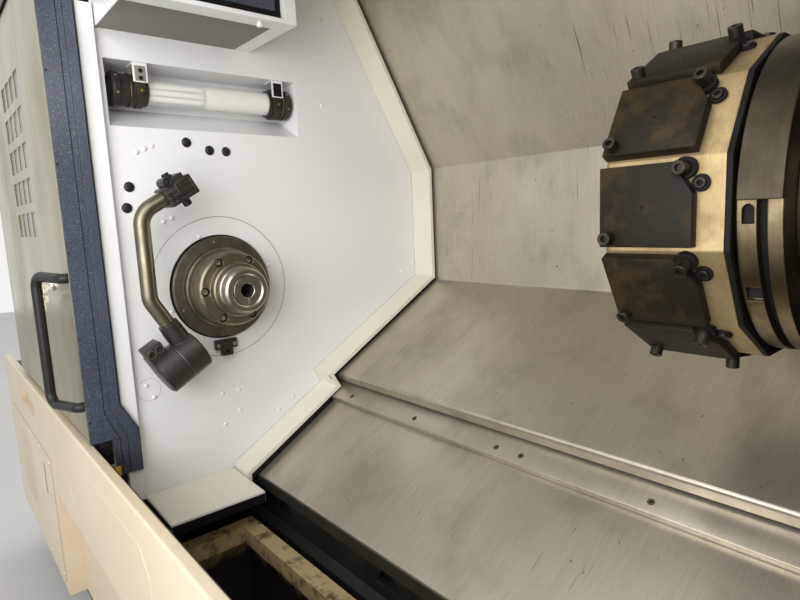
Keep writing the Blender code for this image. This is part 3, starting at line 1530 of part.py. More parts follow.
def main():
    """Builds the machine, body by body."""
    for obj in list(bpy.data.objects):
        bpy.data.objects.remove(obj, do_unlink=True)
    bed_casting()
    linear_rails()
    headstock_casting()
    headstock_wall()
    spindle_cover_ring()
    wall_rim()
    coolant_nozzle_block()
    work_light_glass()
    work_light_caps()
    work_light_lamp()
    work_light_brackets()
    setter_base()
    lower_cover()
    guide_strip()
    chip_trough()
    strainer_plate()
    front_cover()
    front_hatch()
    enclosure()
    roof_box()
    door_rails()
    cabinet()
    operator_panel()
    spindle_axis = carrier("spindle_axis", (0, 0, 0))
    spindle(spindle_axis)
    collet(carrier("collet_axis", (0, 0, 0), parent=spindle_axis))
    slant_turn = Matrix.Rotation(BED_SLOPE, 4, "X")
    arm_place = (SETTER_X, *from_slant(0, SETTER_N))
    setter_arm(carrier("setter_axis", arm_place, slant_turn))
    carriage_axis = carrier("carriage_axis", (TOWER_LEFT, 0, 0))
    saddle(carriage_axis)
    saddle_covers(carriage_axis)
    cross_axis = carrier("cross_slide_axis", (TOWER_LEFT, 0, 0), slant_turn, carriage_axis)
    cross_slide(cross_axis)
    turret_housing(cross_axis)
    turret_place = (TURRET_FRONT, *from_slant(TURRET_U, 0))
    turret(carrier("turret_axis", turret_place, parent=cross_axis))
    door_axis = carrier("door_axis", (0, DOOR_FRONT, 0))
    door(door_axis)
    lock_key(carrier("lock_axis", (LOCK_X, DOOR_FRONT, LOCK_Z), parent=door_axis))
    rear_leaf(carrier("rear_leaf_axis", (0, DOOR_FRONT + DOOR_THICK, 0)))
    hinge_y = REAR_PANEL + CABINET_DEPTH + DOOR_LEAF
    cabinet_door(carrier("cabinet_door_axis", (CABINET_X[0], hinge_y, 0)))
    controls()


main()
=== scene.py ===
"""Looks of a slant-bed turning lathe with its door open, built round its packed model.

Places are written in the spindle frame, in metres: X runs along the spindle axis from the headstock wall
towards the turret, Y to the back, Z up, with the spindle axis at Y = 0 and Z = 0. The slant frame is the
same one turned about the spindle axis by the slope of the bed: U runs up the bed and N stands on it.
"""

import json
import logging
import math
from dataclasses import dataclass, field
from enum import Enum
from math import cos, pi, radians, sin
from typing import Any, Iterable, Sequence

import bmesh
import bpy
from mathutils import Matrix, Vector

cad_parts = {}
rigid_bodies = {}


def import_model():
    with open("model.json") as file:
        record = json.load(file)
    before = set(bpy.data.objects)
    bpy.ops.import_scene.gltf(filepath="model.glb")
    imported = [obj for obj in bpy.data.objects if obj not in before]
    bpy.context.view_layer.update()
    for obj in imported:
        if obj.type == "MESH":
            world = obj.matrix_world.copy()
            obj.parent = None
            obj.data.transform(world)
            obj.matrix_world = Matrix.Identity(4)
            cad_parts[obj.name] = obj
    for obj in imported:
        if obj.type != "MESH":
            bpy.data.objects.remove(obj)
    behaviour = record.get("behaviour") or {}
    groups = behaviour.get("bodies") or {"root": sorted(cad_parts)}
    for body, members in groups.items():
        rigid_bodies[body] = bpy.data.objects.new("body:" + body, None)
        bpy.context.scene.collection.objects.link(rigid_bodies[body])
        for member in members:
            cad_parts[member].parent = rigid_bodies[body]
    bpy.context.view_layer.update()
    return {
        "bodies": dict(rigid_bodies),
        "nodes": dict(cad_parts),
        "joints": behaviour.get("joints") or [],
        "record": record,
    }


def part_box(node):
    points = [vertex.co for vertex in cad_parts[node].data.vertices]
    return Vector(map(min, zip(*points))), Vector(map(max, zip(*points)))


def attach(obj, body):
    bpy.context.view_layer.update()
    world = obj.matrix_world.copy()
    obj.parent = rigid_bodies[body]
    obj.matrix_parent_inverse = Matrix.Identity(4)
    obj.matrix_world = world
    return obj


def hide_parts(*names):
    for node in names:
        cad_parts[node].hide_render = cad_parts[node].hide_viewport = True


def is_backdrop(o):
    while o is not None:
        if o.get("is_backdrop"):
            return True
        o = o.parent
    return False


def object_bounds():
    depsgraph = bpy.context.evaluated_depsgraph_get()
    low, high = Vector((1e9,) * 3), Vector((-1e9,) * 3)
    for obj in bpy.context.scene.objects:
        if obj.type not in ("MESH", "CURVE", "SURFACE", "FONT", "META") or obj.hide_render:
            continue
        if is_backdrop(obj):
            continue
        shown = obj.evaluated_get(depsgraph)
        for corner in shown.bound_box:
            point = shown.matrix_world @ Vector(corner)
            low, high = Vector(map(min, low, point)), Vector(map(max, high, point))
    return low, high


log = logging.getLogger("lathe")

Point2 = tuple[float, float]
Point3 = Sequence[float]

SPINDLE = Vector((-0.38, -0.43645, 0.960))
SLOPE = radians(30)
MACHINE = Matrix.Translation(SPINDLE)
SLANT = MACHINE @ Matrix.Rotation(SLOPE, 4, "X")
LOOSE = Matrix.Identity(4)
TURRET_U = 0.262
TURRET_FRONT = 0.861
STATIONS = 12
STATION_HALF = pi / STATIONS


def from_slant(u: float, n: float) -> Point2:
    """Y and Z of a point of the slant frame.

    Args:
        u: Distance up the bed.
        n: Distance off the bed.

    Returns:
        The point's Y and Z in the spindle frame.
    """
    return (u * cos(SLOPE) - n * sin(SLOPE), u * sin(SLOPE) + n * cos(SLOPE))


TURRET_CENTRE = SPINDLE + Vector((TURRET_FRONT, *from_slant(TURRET_U, 0)))


class Body(Enum):
    """The bodies of the packed model that pieces ride on."""

    MACHINE = "machine"
    DOOR = "door"
    KEY = "lock_key"
    SPINDLE = "spindle"
    COLLET = "collet"
    CARRIAGE = "carriage"
    CROSS_SLIDE = "cross_slide"
    TURRET = "turret"
    SETTER_ARM = "setter_arm"
    E_STOP = "e_stop_button"
    START = "start_button"
    FEED_KNOB = "feed_knob"
    HANDWHEEL = "handwheel"


class Along(Enum):
    """The direction that a straight or turned body runs in."""

    X = "X"
    Y = "Y"
    Z = "Z"

    @property
    def turn(self) -> Matrix:
        """Turns a body that runs along X into this direction."""
        if self is Along.Y:
            return Matrix.Rotation(pi / 2, 4, "Z")
        if self is Along.Z:
            return Matrix.Rotation(-pi / 2, 4, "Y")
        return Matrix.Identity(4)

    @property
    def order(self) -> tuple[int, int, int]:
        """Where depth and the two outline coordinates go in X, Y and Z."""
        return {"X": (0, 1, 2), "Y": (1, 0, 2), "Z": (1, 2, 0)}[self.value]


# Nodes and colours


def feed(tree: bpy.types.NodeTree, node: Any, inputs: dict[Any, Any]) -> None:
    """Sets or links a node's inputs.

    Args:
        tree: The node tree that holds the node.
        node: The node.
        inputs: Values or output sockets, by the input's name or place.
    """
    for key, value in inputs.items():
        if isinstance(value, bpy.types.NodeSocket):
            tree.links.new(value, node.inputs[key])
        else:
            node.inputs[key].default_value = value


def add_node(
    tree: bpy.types.NodeTree, kind: str, inputs: dict[Any, Any] | None = None, **settings: Any
) -> Any:
    """Adds a node with its settings, and sets or links its inputs.

    Args:
        tree: The node tree that gets the node.
        kind: The node's type.
        inputs: Values or output sockets, by the input's name or place.
        **settings: The node's own properties.

    Returns:
        The new node.
    """
    made = tree.nodes.new(kind)
    for name, value in settings.items():
        setattr(made, name, value)
    feed(tree, made, inputs or {})
    return made


def linear(colour: str) -> tuple[float, float, float, float]:
    """Linear RGBA of an sRGB hex colour.

    Args:
        colour: Six hex digits.

    Returns:
        Red, green, blue and an alpha of 1.
    """
    channels = [int(colour[i : i + 2], 16) / 255 for i in (0, 2, 4)]
    r, g, b = (c / 12.92 if c <= 0.04045 else ((c + 0.055) / 1.055) ** 2.4 for c in channels)
    return (r, g, b, 1.0)


def per_metre(size_mm: float) -> float:
    """Scale of a pattern whose grains are this many millimetres across."""
    return 1000 / size_mm


@dataclass
class Canvas:
    """The nodes of a material while its finish is painted."""

    tree: bpy.types.NodeTree
    place: Any = field(init=False)

    def __post_init__(self) -> None:
        """Finds the object's own coordinates."""
        self.place = add_node(self.tree, "ShaderNodeTexCoord").outputs["Object"]

    @property
    def shader(self) -> Any:
        """The material's Principled BSDF."""
        return self.tree.nodes["Principled BSDF"]

    def add(self, kind: str, inputs: dict[Any, Any] | None = None, **settings: Any) -> Any:
        """Adds a node and gives its first output."""
        return add_node(self.tree, kind, inputs, **settings).outputs[0]

    def layers(
        self, patterns: dict[str, tuple[Any, ...]], levels: dict[str, tuple[Any, ...]],
        distortion: float = 0.0
    ) -> dict[str, Any]:
        """Adds the finish's patterns and what is read from them.

        Args:
            patterns: Place, scale, detail and roughness of each noise, by name.
            levels: A pattern's name, the two values that bound it and the two that they stand for, by name.
            distortion: How much the patterns wind.

        Returns:
            The sockets of the patterns and levels, by name.
        """
        made = {}
        for name, (place, scale, detail, rough) in patterns.items():
            inputs = {"Vector": place, "Scale": scale, "Detail": detail, "Roughness": rough}
            made[name] = self.add("ShaderNodeTexNoise", {**inputs, "Distortion": distortion})
        for name, (source, start, end, low, high) in levels.items():
            inputs = {
                "Value": made[source], "From Min": start, "From Max": end, "To Min": low, "To Max": high
            }
            made[name] = self.add("ShaderNodeMapRange", inputs)
        return made

    def shade(self, inputs: dict[str, Any]) -> None:
        """Sets or links the shader's inputs."""
        feed(self.tree, self.shader, inputs)


@dataclass(frozen=True)
class Finish:
    """A finish of the machine, with the record's slot that it belongs to."""

    name: str
    slot: str
    colour: str
    second: str
    edge: float = field(default=0.0016, kw_only=True)
    specular: float = field(default=0.5, kw_only=True)

    def material(self) -> bpy.types.Material:
        """Makes the finish's material, or finds it.

        Returns:
            The one material of this finish.
        """
        found = bpy.data.materials.get(self.name)
        if found:
            return found
        made = bpy.data.materials.new(self.name)
        made.use_nodes = True
        self.paint(Canvas(made.node_tree))
        return made

    def blended(self, canvas: Canvas, factor: Any, first: Any = None, second: Any = None) -> Any:
        """Mixes two colours, by default the finish's own two.

        Args:
            canvas: The material's nodes.
            factor: Socket or number that picks between them.
            first: Socket or colour at 0.
            second: Socket or colour at 1.

        Returns:
            The colour socket.
        """
        values = {0: factor, 6: linear(self.colour) if first is None else first}
        values[7] = linear(self.second) if second is None else second
        return add_node(canvas.tree, "ShaderNodeMix", values, data_type="RGBA").outputs[2]

    def relief(self, canvas: Canvas, height: Any, strength: float, depth: float) -> Any:
        """Bumps the surface and lets its sharp edges catch the light as rounded ones do.

        Args:
            canvas: The material's nodes.
            height: Socket of the surface's height.
            strength: Strength of the bump.
            depth: Height in metres that the socket's range stands for.

        Returns:
            The normal's socket.
        """
        edges = canvas.add("ShaderNodeBevel", {"Radius": self.edge}, samples=6)
        inputs = {"Height": height, "Strength": strength, "Distance": depth, "Normal": edges}
        return canvas.add("ShaderNodeBump", inputs)

    def paint(self, canvas: Canvas) -> None:
        """Fills the material's tree.

        Args:
            canvas: The material's nodes.
        """
        raise NotImplementedError


@dataclass(frozen=True)
class SprayedPaint(Finish):
    """Two-pack paint sprayed on sheet steel: satin, with the fine orange peel of the gun."""

    roughness: float = 0.35
    peel_mm: float = 2.2
    peel_depth: float = 0.00012
    coat: float = 0.15
    patch_mm: float = 320.0
    # share and colour of the painted glints: pale highlight specks on the peel's crests
    painted_glint_share: float = 0.0
    painted_glint_colour: str = "C9CFD8"

    def paint(self, canvas: Canvas) -> None:
        """Broad shifts of tone, a peel bump and an uneven gloss.

        Args:
            canvas: The material's nodes.
        """
        place = canvas.place
        patterns = {
            "broad": (place, per_metre(self.patch_mm), 3.0, 0.5),
            "peel": (place, per_metre(self.peel_mm), 1.5, 0.5),
        }
        levels = {
            "shift": ("broad", 0.35, 0.70, 0.0, 1.0),
            "gloss": ("peel", 0.0, 1.0, self.roughness - 0.07, self.roughness + 0.08),
            "painted_glints": ("peel", 0.56, 0.70, 0.0, self.painted_glint_share),
        }
        made = canvas.layers(patterns, levels)
        colour = self.blended(canvas, made["shift"])
        # painted highlight: pale glints mixed into the base colour on the peel's crests
        colour = self.blended(canvas, made["painted_glints"], colour, linear(self.painted_glint_colour))
        normal = self.relief(canvas, made["peel"], 0.5, self.peel_depth)
        canvas.shade({"Base Color": colour, "Roughness": made["gloss"], "Normal": normal})
        canvas.shade({"Coat Weight": self.coat, "Coat Roughness": 0.25})


@dataclass(frozen=True)
class BrushedSheet(Finish):
    """Stainless sheet, belt-brushed across the bed: dull silver with streaks, dried coolant and scratches."""

    stain: str = "6B6254"
    grain_mm: float = 1.6
    roughness: float = 0.40
    metallic: float = 0.85
    stains: float = 0.55
    scratches: float = 0.6
    scratch_colour: str = "3F3A32"

    def paint(self, canvas: Canvas) -> None:
        """Grain along the slope, broad tones, dried stains, rubbed lines and specks.

        Args:
            canvas: The material's nodes.
        """
        # the grain runs square to X: real lines are 0.1 mm wide, drawn coarser so that they show
        fine = per_metre(self.grain_mm)
        patterns = {}
        for name, spread, detail in (
            ("grain", (fine, fine / 45, fine / 45), 3.0),
            ("broad", (4.6, 1.9, 1.9), 5.0),
            ("stain", (per_metre(95), per_metre(130), per_metre(130)), 6.0),
            ("line", (per_metre(2.6), per_metre(120), per_metre(120)), 1.0),
            ("speck", (per_metre(6), per_metre(9), per_metre(9)), 1.0),
        ):
            spot = canvas.add("ShaderNodeVectorMath", {0: canvas.place, 1: spread}, operation="MULTIPLY")
            patterns[name] = (spot, 1.0, detail, 0.6)
        levels = {
            "tone": ("broad", 0.30, 0.72, 0.0, 1.0),
            "lines": ("grain", 0.3, 0.7, 0.90, 1.06),
            "stains": ("stain", 0.50, 0.74, 0.0, self.stains),
            "rubbed": ("line", 0.70, 0.73, 0.0, self.scratches),
            "where": ("broad", 0.50, 0.56, 0.0, 1.0),
            "specks": ("speck", 0.765, 0.80, 0.0, self.scratches),
            "rough": ("broad", 0.3, 0.7, self.roughness - 0.08, self.roughness + 0.12),
        }
        made = canvas.layers(patterns, levels, 0.15)
        inputs = {0: self.blended(canvas, made["tone"]), "Scale": made["lines"]}
        colour = canvas.add("ShaderNodeVectorMath", inputs, operation="SCALE")
        colour = self.blended(canvas, made["stains"], colour, linear(self.stain))
        marks = canvas.add("ShaderNodeMath", {0: made["rubbed"], 1: made["where"]}, operation="MULTIPLY")
        marks = canvas.add("ShaderNodeMath", {0: marks, 1: made["specks"]}, operation="MAXIMUM")
        colour = self.blended(canvas, marks, colour, linear(self.scratch_colour))
        normal = self.relief(canvas, made["grain"], 0.25, 0.00006)
        canvas.shade({"Base Color": colour, "Roughness": made["rough"], "Normal": normal})
        canvas.shade({"Metallic": self.metallic})


@dataclass(frozen=True)
class TurnedSteel(Finish):
    """Steel turned on a lathe: bright, with fine rings round its own axis that spread the highlight."""

    centre: tuple[float, float, float] = tuple(SPINDLE)
    roughness: float = 0.26
    ring_mm: float = 0.9
    metallic: float = 1.0

    def paint(self, canvas: Canvas) -> None:
        """Rings from the distance to the axis and the place along it.

        Args:
            canvas: The material's nodes.
        """
        place = canvas.place
        moved = canvas.add("ShaderNodeVectorMath", {0: place, 1: self.centre}, operation="SUBTRACT")
        flat = canvas.add("ShaderNodeVectorMath", {0: moved, 1: (0, 1, 1)}, operation="MULTIPLY")
        reach = add_node(canvas.tree, "ShaderNodeVectorMath", {0: flat}, operation="LENGTH").outputs["Value"]
        depth = canvas.add("ShaderNodeSeparateXYZ", {0: moved})
        line = canvas.add("ShaderNodeCombineXYZ", {"X": reach, "Y": depth})
        patterns = {
            "rings": (line, per_metre(self.ring_mm), 2.0, 0.5), "wear": (place, per_metre(28), 5.0, 0.65)
        }
        levels = {
            "tone": ("wear", 0.35, 0.68, 0.0, 1.0),
            "cut": ("rings", 0.3, 0.7, 0.88, 1.06),
            "rough": ("wear", 0.0, 1.0, self.roughness - 0.08, self.roughness + 0.14),
        }
        made = canvas.layers(patterns, levels)
        inputs = {0: self.blended(canvas, made["tone"]), "Scale": made["cut"]}
        colour = canvas.add("ShaderNodeVectorMath", inputs, operation="SCALE")
        normal = self.relief(canvas, made["rings"], 0.35, 0.00005)
        canvas.shade({"Base Color": colour, "Roughness": made["rough"], "Normal": normal})
        canvas.shade({"Metallic": self.metallic})


@dataclass(frozen=True)
class Mottled(Finish):
    """A surface whose tone breaks up in patches: oxide on steel, paint on a casting, chipped yellow."""

    roughness: float = 0.5
    metallic: float = 0.0
    patch_mm: float = 30.0
    low: float = 0.45
    high: float = 0.62
    grain_mm: float = 1.5
    grain_depth: float = 0.0001

    def paint(self, canvas: Canvas) -> None:
        """Patches between the two colours, and a grain that breaks the gloss.

        Args:
            canvas: The material's nodes.
        """
        patterns = {
            "patches": (canvas.place, per_metre(self.patch_mm), 7.0, 0.68),
            "grain": (canvas.place, per_metre(self.grain_mm), 2.0, 0.5),
        }
        levels = {
            "share": ("patches", self.low, self.high, 0.0, 1.0),
            "rough": ("patches", 0.0, 1.0, self.roughness - 0.12, self.roughness + 0.15),
        }
        made = canvas.layers(patterns, levels)
        colour, normal = self.blended(canvas, made["share"]), self.relief(
            canvas, made["grain"], 0.45, self.grain_depth
        )
        canvas.shade({"Base Color": colour, "Roughness": made["rough"], "Normal": normal})
        canvas.shade({"Metallic": self.metallic, "Specular IOR Level": self.specular})


@dataclass(frozen=True)
class GrimyPaint(Mottled):
    """Worn paint that black sludge covers below a level."""

    grime: str = "14120D"
    level: float = 0.5
    depth: float = 0.06

    def paint(self, canvas: Canvas) -> None:
        """The mottled body, darkened towards the bottom with a ragged edge.

        Args:
            canvas: The material's nodes.
        """
        super().paint(canvas)
        worn = canvas.shader.inputs["Base Color"].links[0].from_socket
        height = add_node(canvas.tree, "ShaderNodeSeparateXYZ", {0: canvas.place}).outputs["Z"]
        ragged = canvas.add(
            "ShaderNodeTexNoise", {"Vector": canvas.place, "Scale": per_metre(35), "Detail": 5.0}
        )
        edge = canvas.add("ShaderNodeMath", {0: ragged, 1: self.depth, 2: height}, operation="MULTIPLY_ADD")
        inputs = {
            "Value": edge, "From Min": self.level - self.depth / 2, "From Max": self.level + self.depth / 4
        }
        sludge = canvas.add("ShaderNodeMapRange", {**inputs, "To Min": 1.0, "To Max": 0.0})
        canvas.shade({"Base Color": self.blended(canvas, sludge, worn, linear(self.grime))})


@dataclass(frozen=True)
class ClearGlass(Finish):
    """Float or tube glass: clear, with a thin film of dried mist that dulls it here and there."""

    roughness: float = 0.03

    def paint(self, canvas: Canvas) -> None:
        """Clear body with a misted roughness.

        Args:
            canvas: The material's nodes.
        """
        patterns = {"mist": (canvas.place, per_metre(18), 4.0, 0.5)}
        levels = {"rough": ("mist", 0.0, 1.0, 0.0, self.roughness * 3), "tint": ("mist", 0.0, 1.0, 0.0, 1.0)}
        made = canvas.layers(patterns, levels)
        canvas.shade({"Base Color": self.blended(canvas, made["tint"]), "Roughness": made["rough"]})
        canvas.shade({"IOR": 1.5, "Transmission Weight": 1.0})


@dataclass(frozen=True)
class MilkyTube(Mottled):
    """Opal acrylic: milky white that passes a little of the lamp's light."""

    glow: float = 0.12
    glow_colour: str = "FFFBEA"

    def paint(self, canvas: Canvas) -> None:
        """The mottled body with a faint light of its own.

        Args:
            canvas: The material's nodes.
        """
        super().paint(canvas)
        canvas.shade({"Emission Color": linear(self.glow_colour), "Emission Strength": self.glow})


# Powder coat on steel sheet: bright, barely glossy, so shadows draw every fold.
WHITE = SprayedPaint("satin_white_paint", "white_paint", "E2E3E3", "E8E8E7", coat=0.1)
# The same coat in a warmer white: the rim stands out from the wall by its tone alone.
CREAM = SprayedPaint("satin_cream_paint", "cream_paint", "DFDACC", "E5E1D5", coat=0.1)
# Warm beige coat with a little more gloss: the bent top edge carries one long highlight.
BEIGE = SprayedPaint("satin_beige_paint", "beige_paint", "D9C8AA", "E0D2B8", coat=0.2, edge=0.003)
# Painted shade on a white coat: a dull brown grey that stands in for the shade under the roof box.
UNDERSIDE_SHADE = SprayedPaint("misted_taupe_paint", "white_paint", "625A50", "6B6258", coat=0.1)
# Thick blue-grey coat with a coarse orange peel, flecked with pale painted glints on the peel's crests.
BLUE_GREY = SprayedPaint(
    "orange_peel_blue_grey_paint", "blue_grey_paint", "343C49", "3E4756", 0.34, 2.0, 0.0005, 0.4, 180.0, 0.16
)
# Clear-coated polished sheet: a dim golden mirror with upright streaks.
CHAMPAGNE = BrushedSheet(
    "polished_champagne_sheet", "champagne_metal", "9D9372", "898062", "7C745F", 3.0, 0.22, 0.92, 0.15, 0.0
)
# Belt-brushed stainless: dull silver with grain up the slope, wiped coolant and rubbed lines.
STAINLESS = BrushedSheet(
    "brushed_stainless_sheet", "brushed_stainless", "CBC4B7", "B2AA9B", "80786A", stains=0.4, scratches=0.7,
    edge=0.0012
)
# Turned and ground tool steel, lightly oiled: warm grey with soft rings of light.
STEEL = TurnedSteel("turned_steel", "ground_steel", "918978", "797162", roughness=0.38, metallic=0.95)
# Fresh ground steel: the palest metal, with sharp rings.
BRIGHT_STEEL = TurnedSteel(
    "bright_turned_steel", "ground_steel", "B4AFA5", "9C9488", roughness=0.3, metallic=0.95
)
# Face-turned steel gone dark: fine tool rings under a brown-black tone.
DISC_STEEL = TurnedSteel("dark_turned_steel", "dark_steel", "6C655B", "555047", roughness=0.46, metallic=0.9)
# Ground flats of the turret disc: pale straw where the light falls on them.
STATION_STEEL = TurnedSteel(
    "ground_station_steel", "ground_steel", "B7A37A", "9A8763", tuple(TURRET_CENTRE), 0.5, 1.4, 0.8
)
# Bearing rings of the housing: polished bands that mirror the cabin.
HOUSING_STEEL = TurnedSteel(
    "turned_housing_steel", "ground_steel", "786C54", "5A503E", tuple(TURRET_CENTRE), 0.3, 1.2, 0.95
)
# Oiled cast steel of the housing's body: near black, with a slow sheen.
HOUSING_DARK = TurnedSteel(
    "dark_housing_steel", "ground_steel", "3F382D", "2E281F", tuple(TURRET_CENTRE), 0.36, 1.6, 0.9
)
# Satin half band over the rings: even grey without a sharp highlight.
BAND_STEEL = TurnedSteel(
    "satin_band_steel", "ground_steel", "4F493D", "423C31", tuple(TURRET_CENTRE), 0.42, 2.0, 0.9
)
# Bead-blasted steel tube: one long soft highlight.
TUBE_STEEL = Mottled(
    "ground_tube_steel", "ground_steel", "85806F", "757060", 0.32, 0.95, 40.0, 0.4, 0.6, 0.9, 0.00004
)
# Rolled steel with old oil on it: dark and half glossy.
RAIL_STEEL = Mottled("oiled_rail_steel", "dark_steel", "4A463F", "3C3832", 0.4, 0.8)
# Black oxide on steel with rust coming through: olive black with brown clouds.
OXIDE = Mottled(
    "black_oxide_plate", "ground_steel", "1B170E", "3F311C", 0.55, 0.0, 42.0, 0.50, 0.76, 1.2, 0.00008,
    specular=0.18
)
# Black oxide on screw heads: darker, glossier, rubbed at the rims.
BLACK_SCREW = Mottled("black_oxide_screw", "ground_steel", "26231D", "38332A", 0.42, 0.6, 8.0, edge=0.0008)
# Screw heads worn bright by the key: small glints in a seat darkened by painted shade.
HEX_STEEL = Mottled("worn_screw_steel", "ground_steel", "A8A296", "8C8578", 0.32, 0.95, 8.0, edge=0.0008)
# Machine enamel on cast iron: dark olive, rough from the sand under it. The same dark is laid as painted
# shade on the lower cover's front fold.
CASTING_AND_FOLD_SHADE = Mottled(
    "dark_painted_casting", "painted_casting", "1F2019", "2B2A20", 0.55, 0.0, 60.0, 0.4, 0.62, 3.0, 0.0004
)
# Moulded nylon: black with a soft shine.
BLACK = Mottled(
    "satin_black_plastic", "black_plastic", "1C1C1D", "262627", 0.36, 0.0, 60.0, 0.3, 0.7, 0.8, 0.00005,
    specular=0.3
)
# Black anodised aluminium: a metal's sheen under a black skin.
SETTER_BLACK = Mottled(
    "black_anodised_aluminium", "black_plastic", "2B2824", "3A352F", 0.38, 0.35, 26.0, 0.35, 0.7, 0.7, 0.00004
)
# Nitrile rubber, also laid as painted shade in bolt seats, cut corners, pockets, slots and grooves: the
# darkest and dullest part.
BLACK_RUBBER_AND_SHADE = Mottled(
    "black_rubber", "black_plastic", "12110F", "1A1816", 0.6, 0.0, 20.0, 0.3, 0.7, 1.0, 0.00008, specular=0.15
)
# Borosilicate tube and float pane: clear, misted in patches.
GLASS = ClearGlass("clear_glass", "clear_glass", "F2F6F6", "E9F0F0")
# Opal acrylic over the lamp: an even white that glows a little.
LAMP = MilkyTube("opal_acrylic", "lamp_white", "EFEBDA", "E8E3D0", 0.35, 0.0, 90.0, 0.4, 0.6, 2.0, 0.00003)
# Nickel plate: bright and slightly yellow.
NICKEL = Mottled("nickel_plate", "nickel_plate", "B9B5AA", "A09B8F", 0.26, 0.9, 12.0)
# Brass stud: the one yellow glint beside the lamp's caps.
BRASS = Mottled("brass", "nickel_plate", "9A8048", "846C37", 0.3, 1.0, 8.0)
# Moulded plastic caps of the buttons: saturated and smooth.
RED = Mottled(
    "red_moulded_plastic", "red_plastic", "B3201B", "A61B17", 0.32, 0.0, 20.0, 0.3, 0.7, 0.8, 0.00003
)
GREEN = Mottled(
    "green_moulded_plastic", "green_plastic", "2C7A4B", "276E43", 0.35, 0.0, 20.0, 0.3, 0.7, 0.8, 0.00003
)
YELLOW_TIP = Mottled("yellow_moulded_plastic", "yellow_paint", "DDA628", "CD9820", 0.4, 0.0, 20.0, 0.3, 0.7)
# Shaded joint between two white sheets: a mid grey line.
SEAM_GREY = Mottled("seam_shadow_grey", "white_paint", "8E8B84", "7E7B74", 0.6, 0.0, 20.0, 0.3, 0.7)
# Switched-off screen: black glass that mirrors the room.
SCREEN = Mottled(
    "dark_screen_glass", "black_plastic", "14171C", "191C22", 0.12, 0.0, 120.0, 0.3, 0.7, 4.0, 0.00001
)
# Pale sealed concrete, drawn as an even floor.
FLOOR = Mottled(
    "pale_floor", "white_paint", "D6D5D2", "D0CFCB", 0.75, 0.0, 700.0, 0.3, 0.7, 6.0, 0.0001, specular=0.1
)

NODE_FINISHES: dict[Finish, tuple[str, ...]] = {
    WHITE: (
        "headstock_wall", "right_wall", "left_front_panel", "right_front_panel", "left_side_cover",
        "right_side_cover", "rear_cover", "roof", "roof_box", "work_light_left_bracket",
        "work_light_right_bracket",
    ),
    CREAM: ("wall_rim",),
    BEIGE: ("front_cover", "front_hatch", "electrical_cabinet", "cabinet_door", "operator_panel"),
    BLUE_GREY: ("door_frame", "rear_leaf", "roof_box_panel"),
    CHAMPAGNE: ("door_skin",),
    STAINLESS: ("strainer_plate",),
    STEEL: ("spindle_shaft",),
    RAIL_STEEL: ("linear_rail_front", "linear_rail_rear", "door_top_rail", "door_bottom_rail"),
    CASTING_AND_FOLD_SHADE: ("bed_casting", "headstock_casting", "saddle", "cross_slide"),
    GLASS: ("door_window",),
}


# Meshes


def linked(name: str, data: Any) -> bpy.types.Object:
    """A new object in the scene.

    Args:
        name: The object's name.
        data: Its mesh, lamp or camera.

    Returns:
        The object.
    """
    obj = bpy.data.objects.new(name, data)
    bpy.context.scene.collection.objects.link(obj)
    return obj


def dress(obj: bpy.types.Object, finish: Finish) -> None:
    """Gives an object one finish in place of all that it has."""
    obj.data.materials.clear()
    obj.data.materials.append(finish.material())


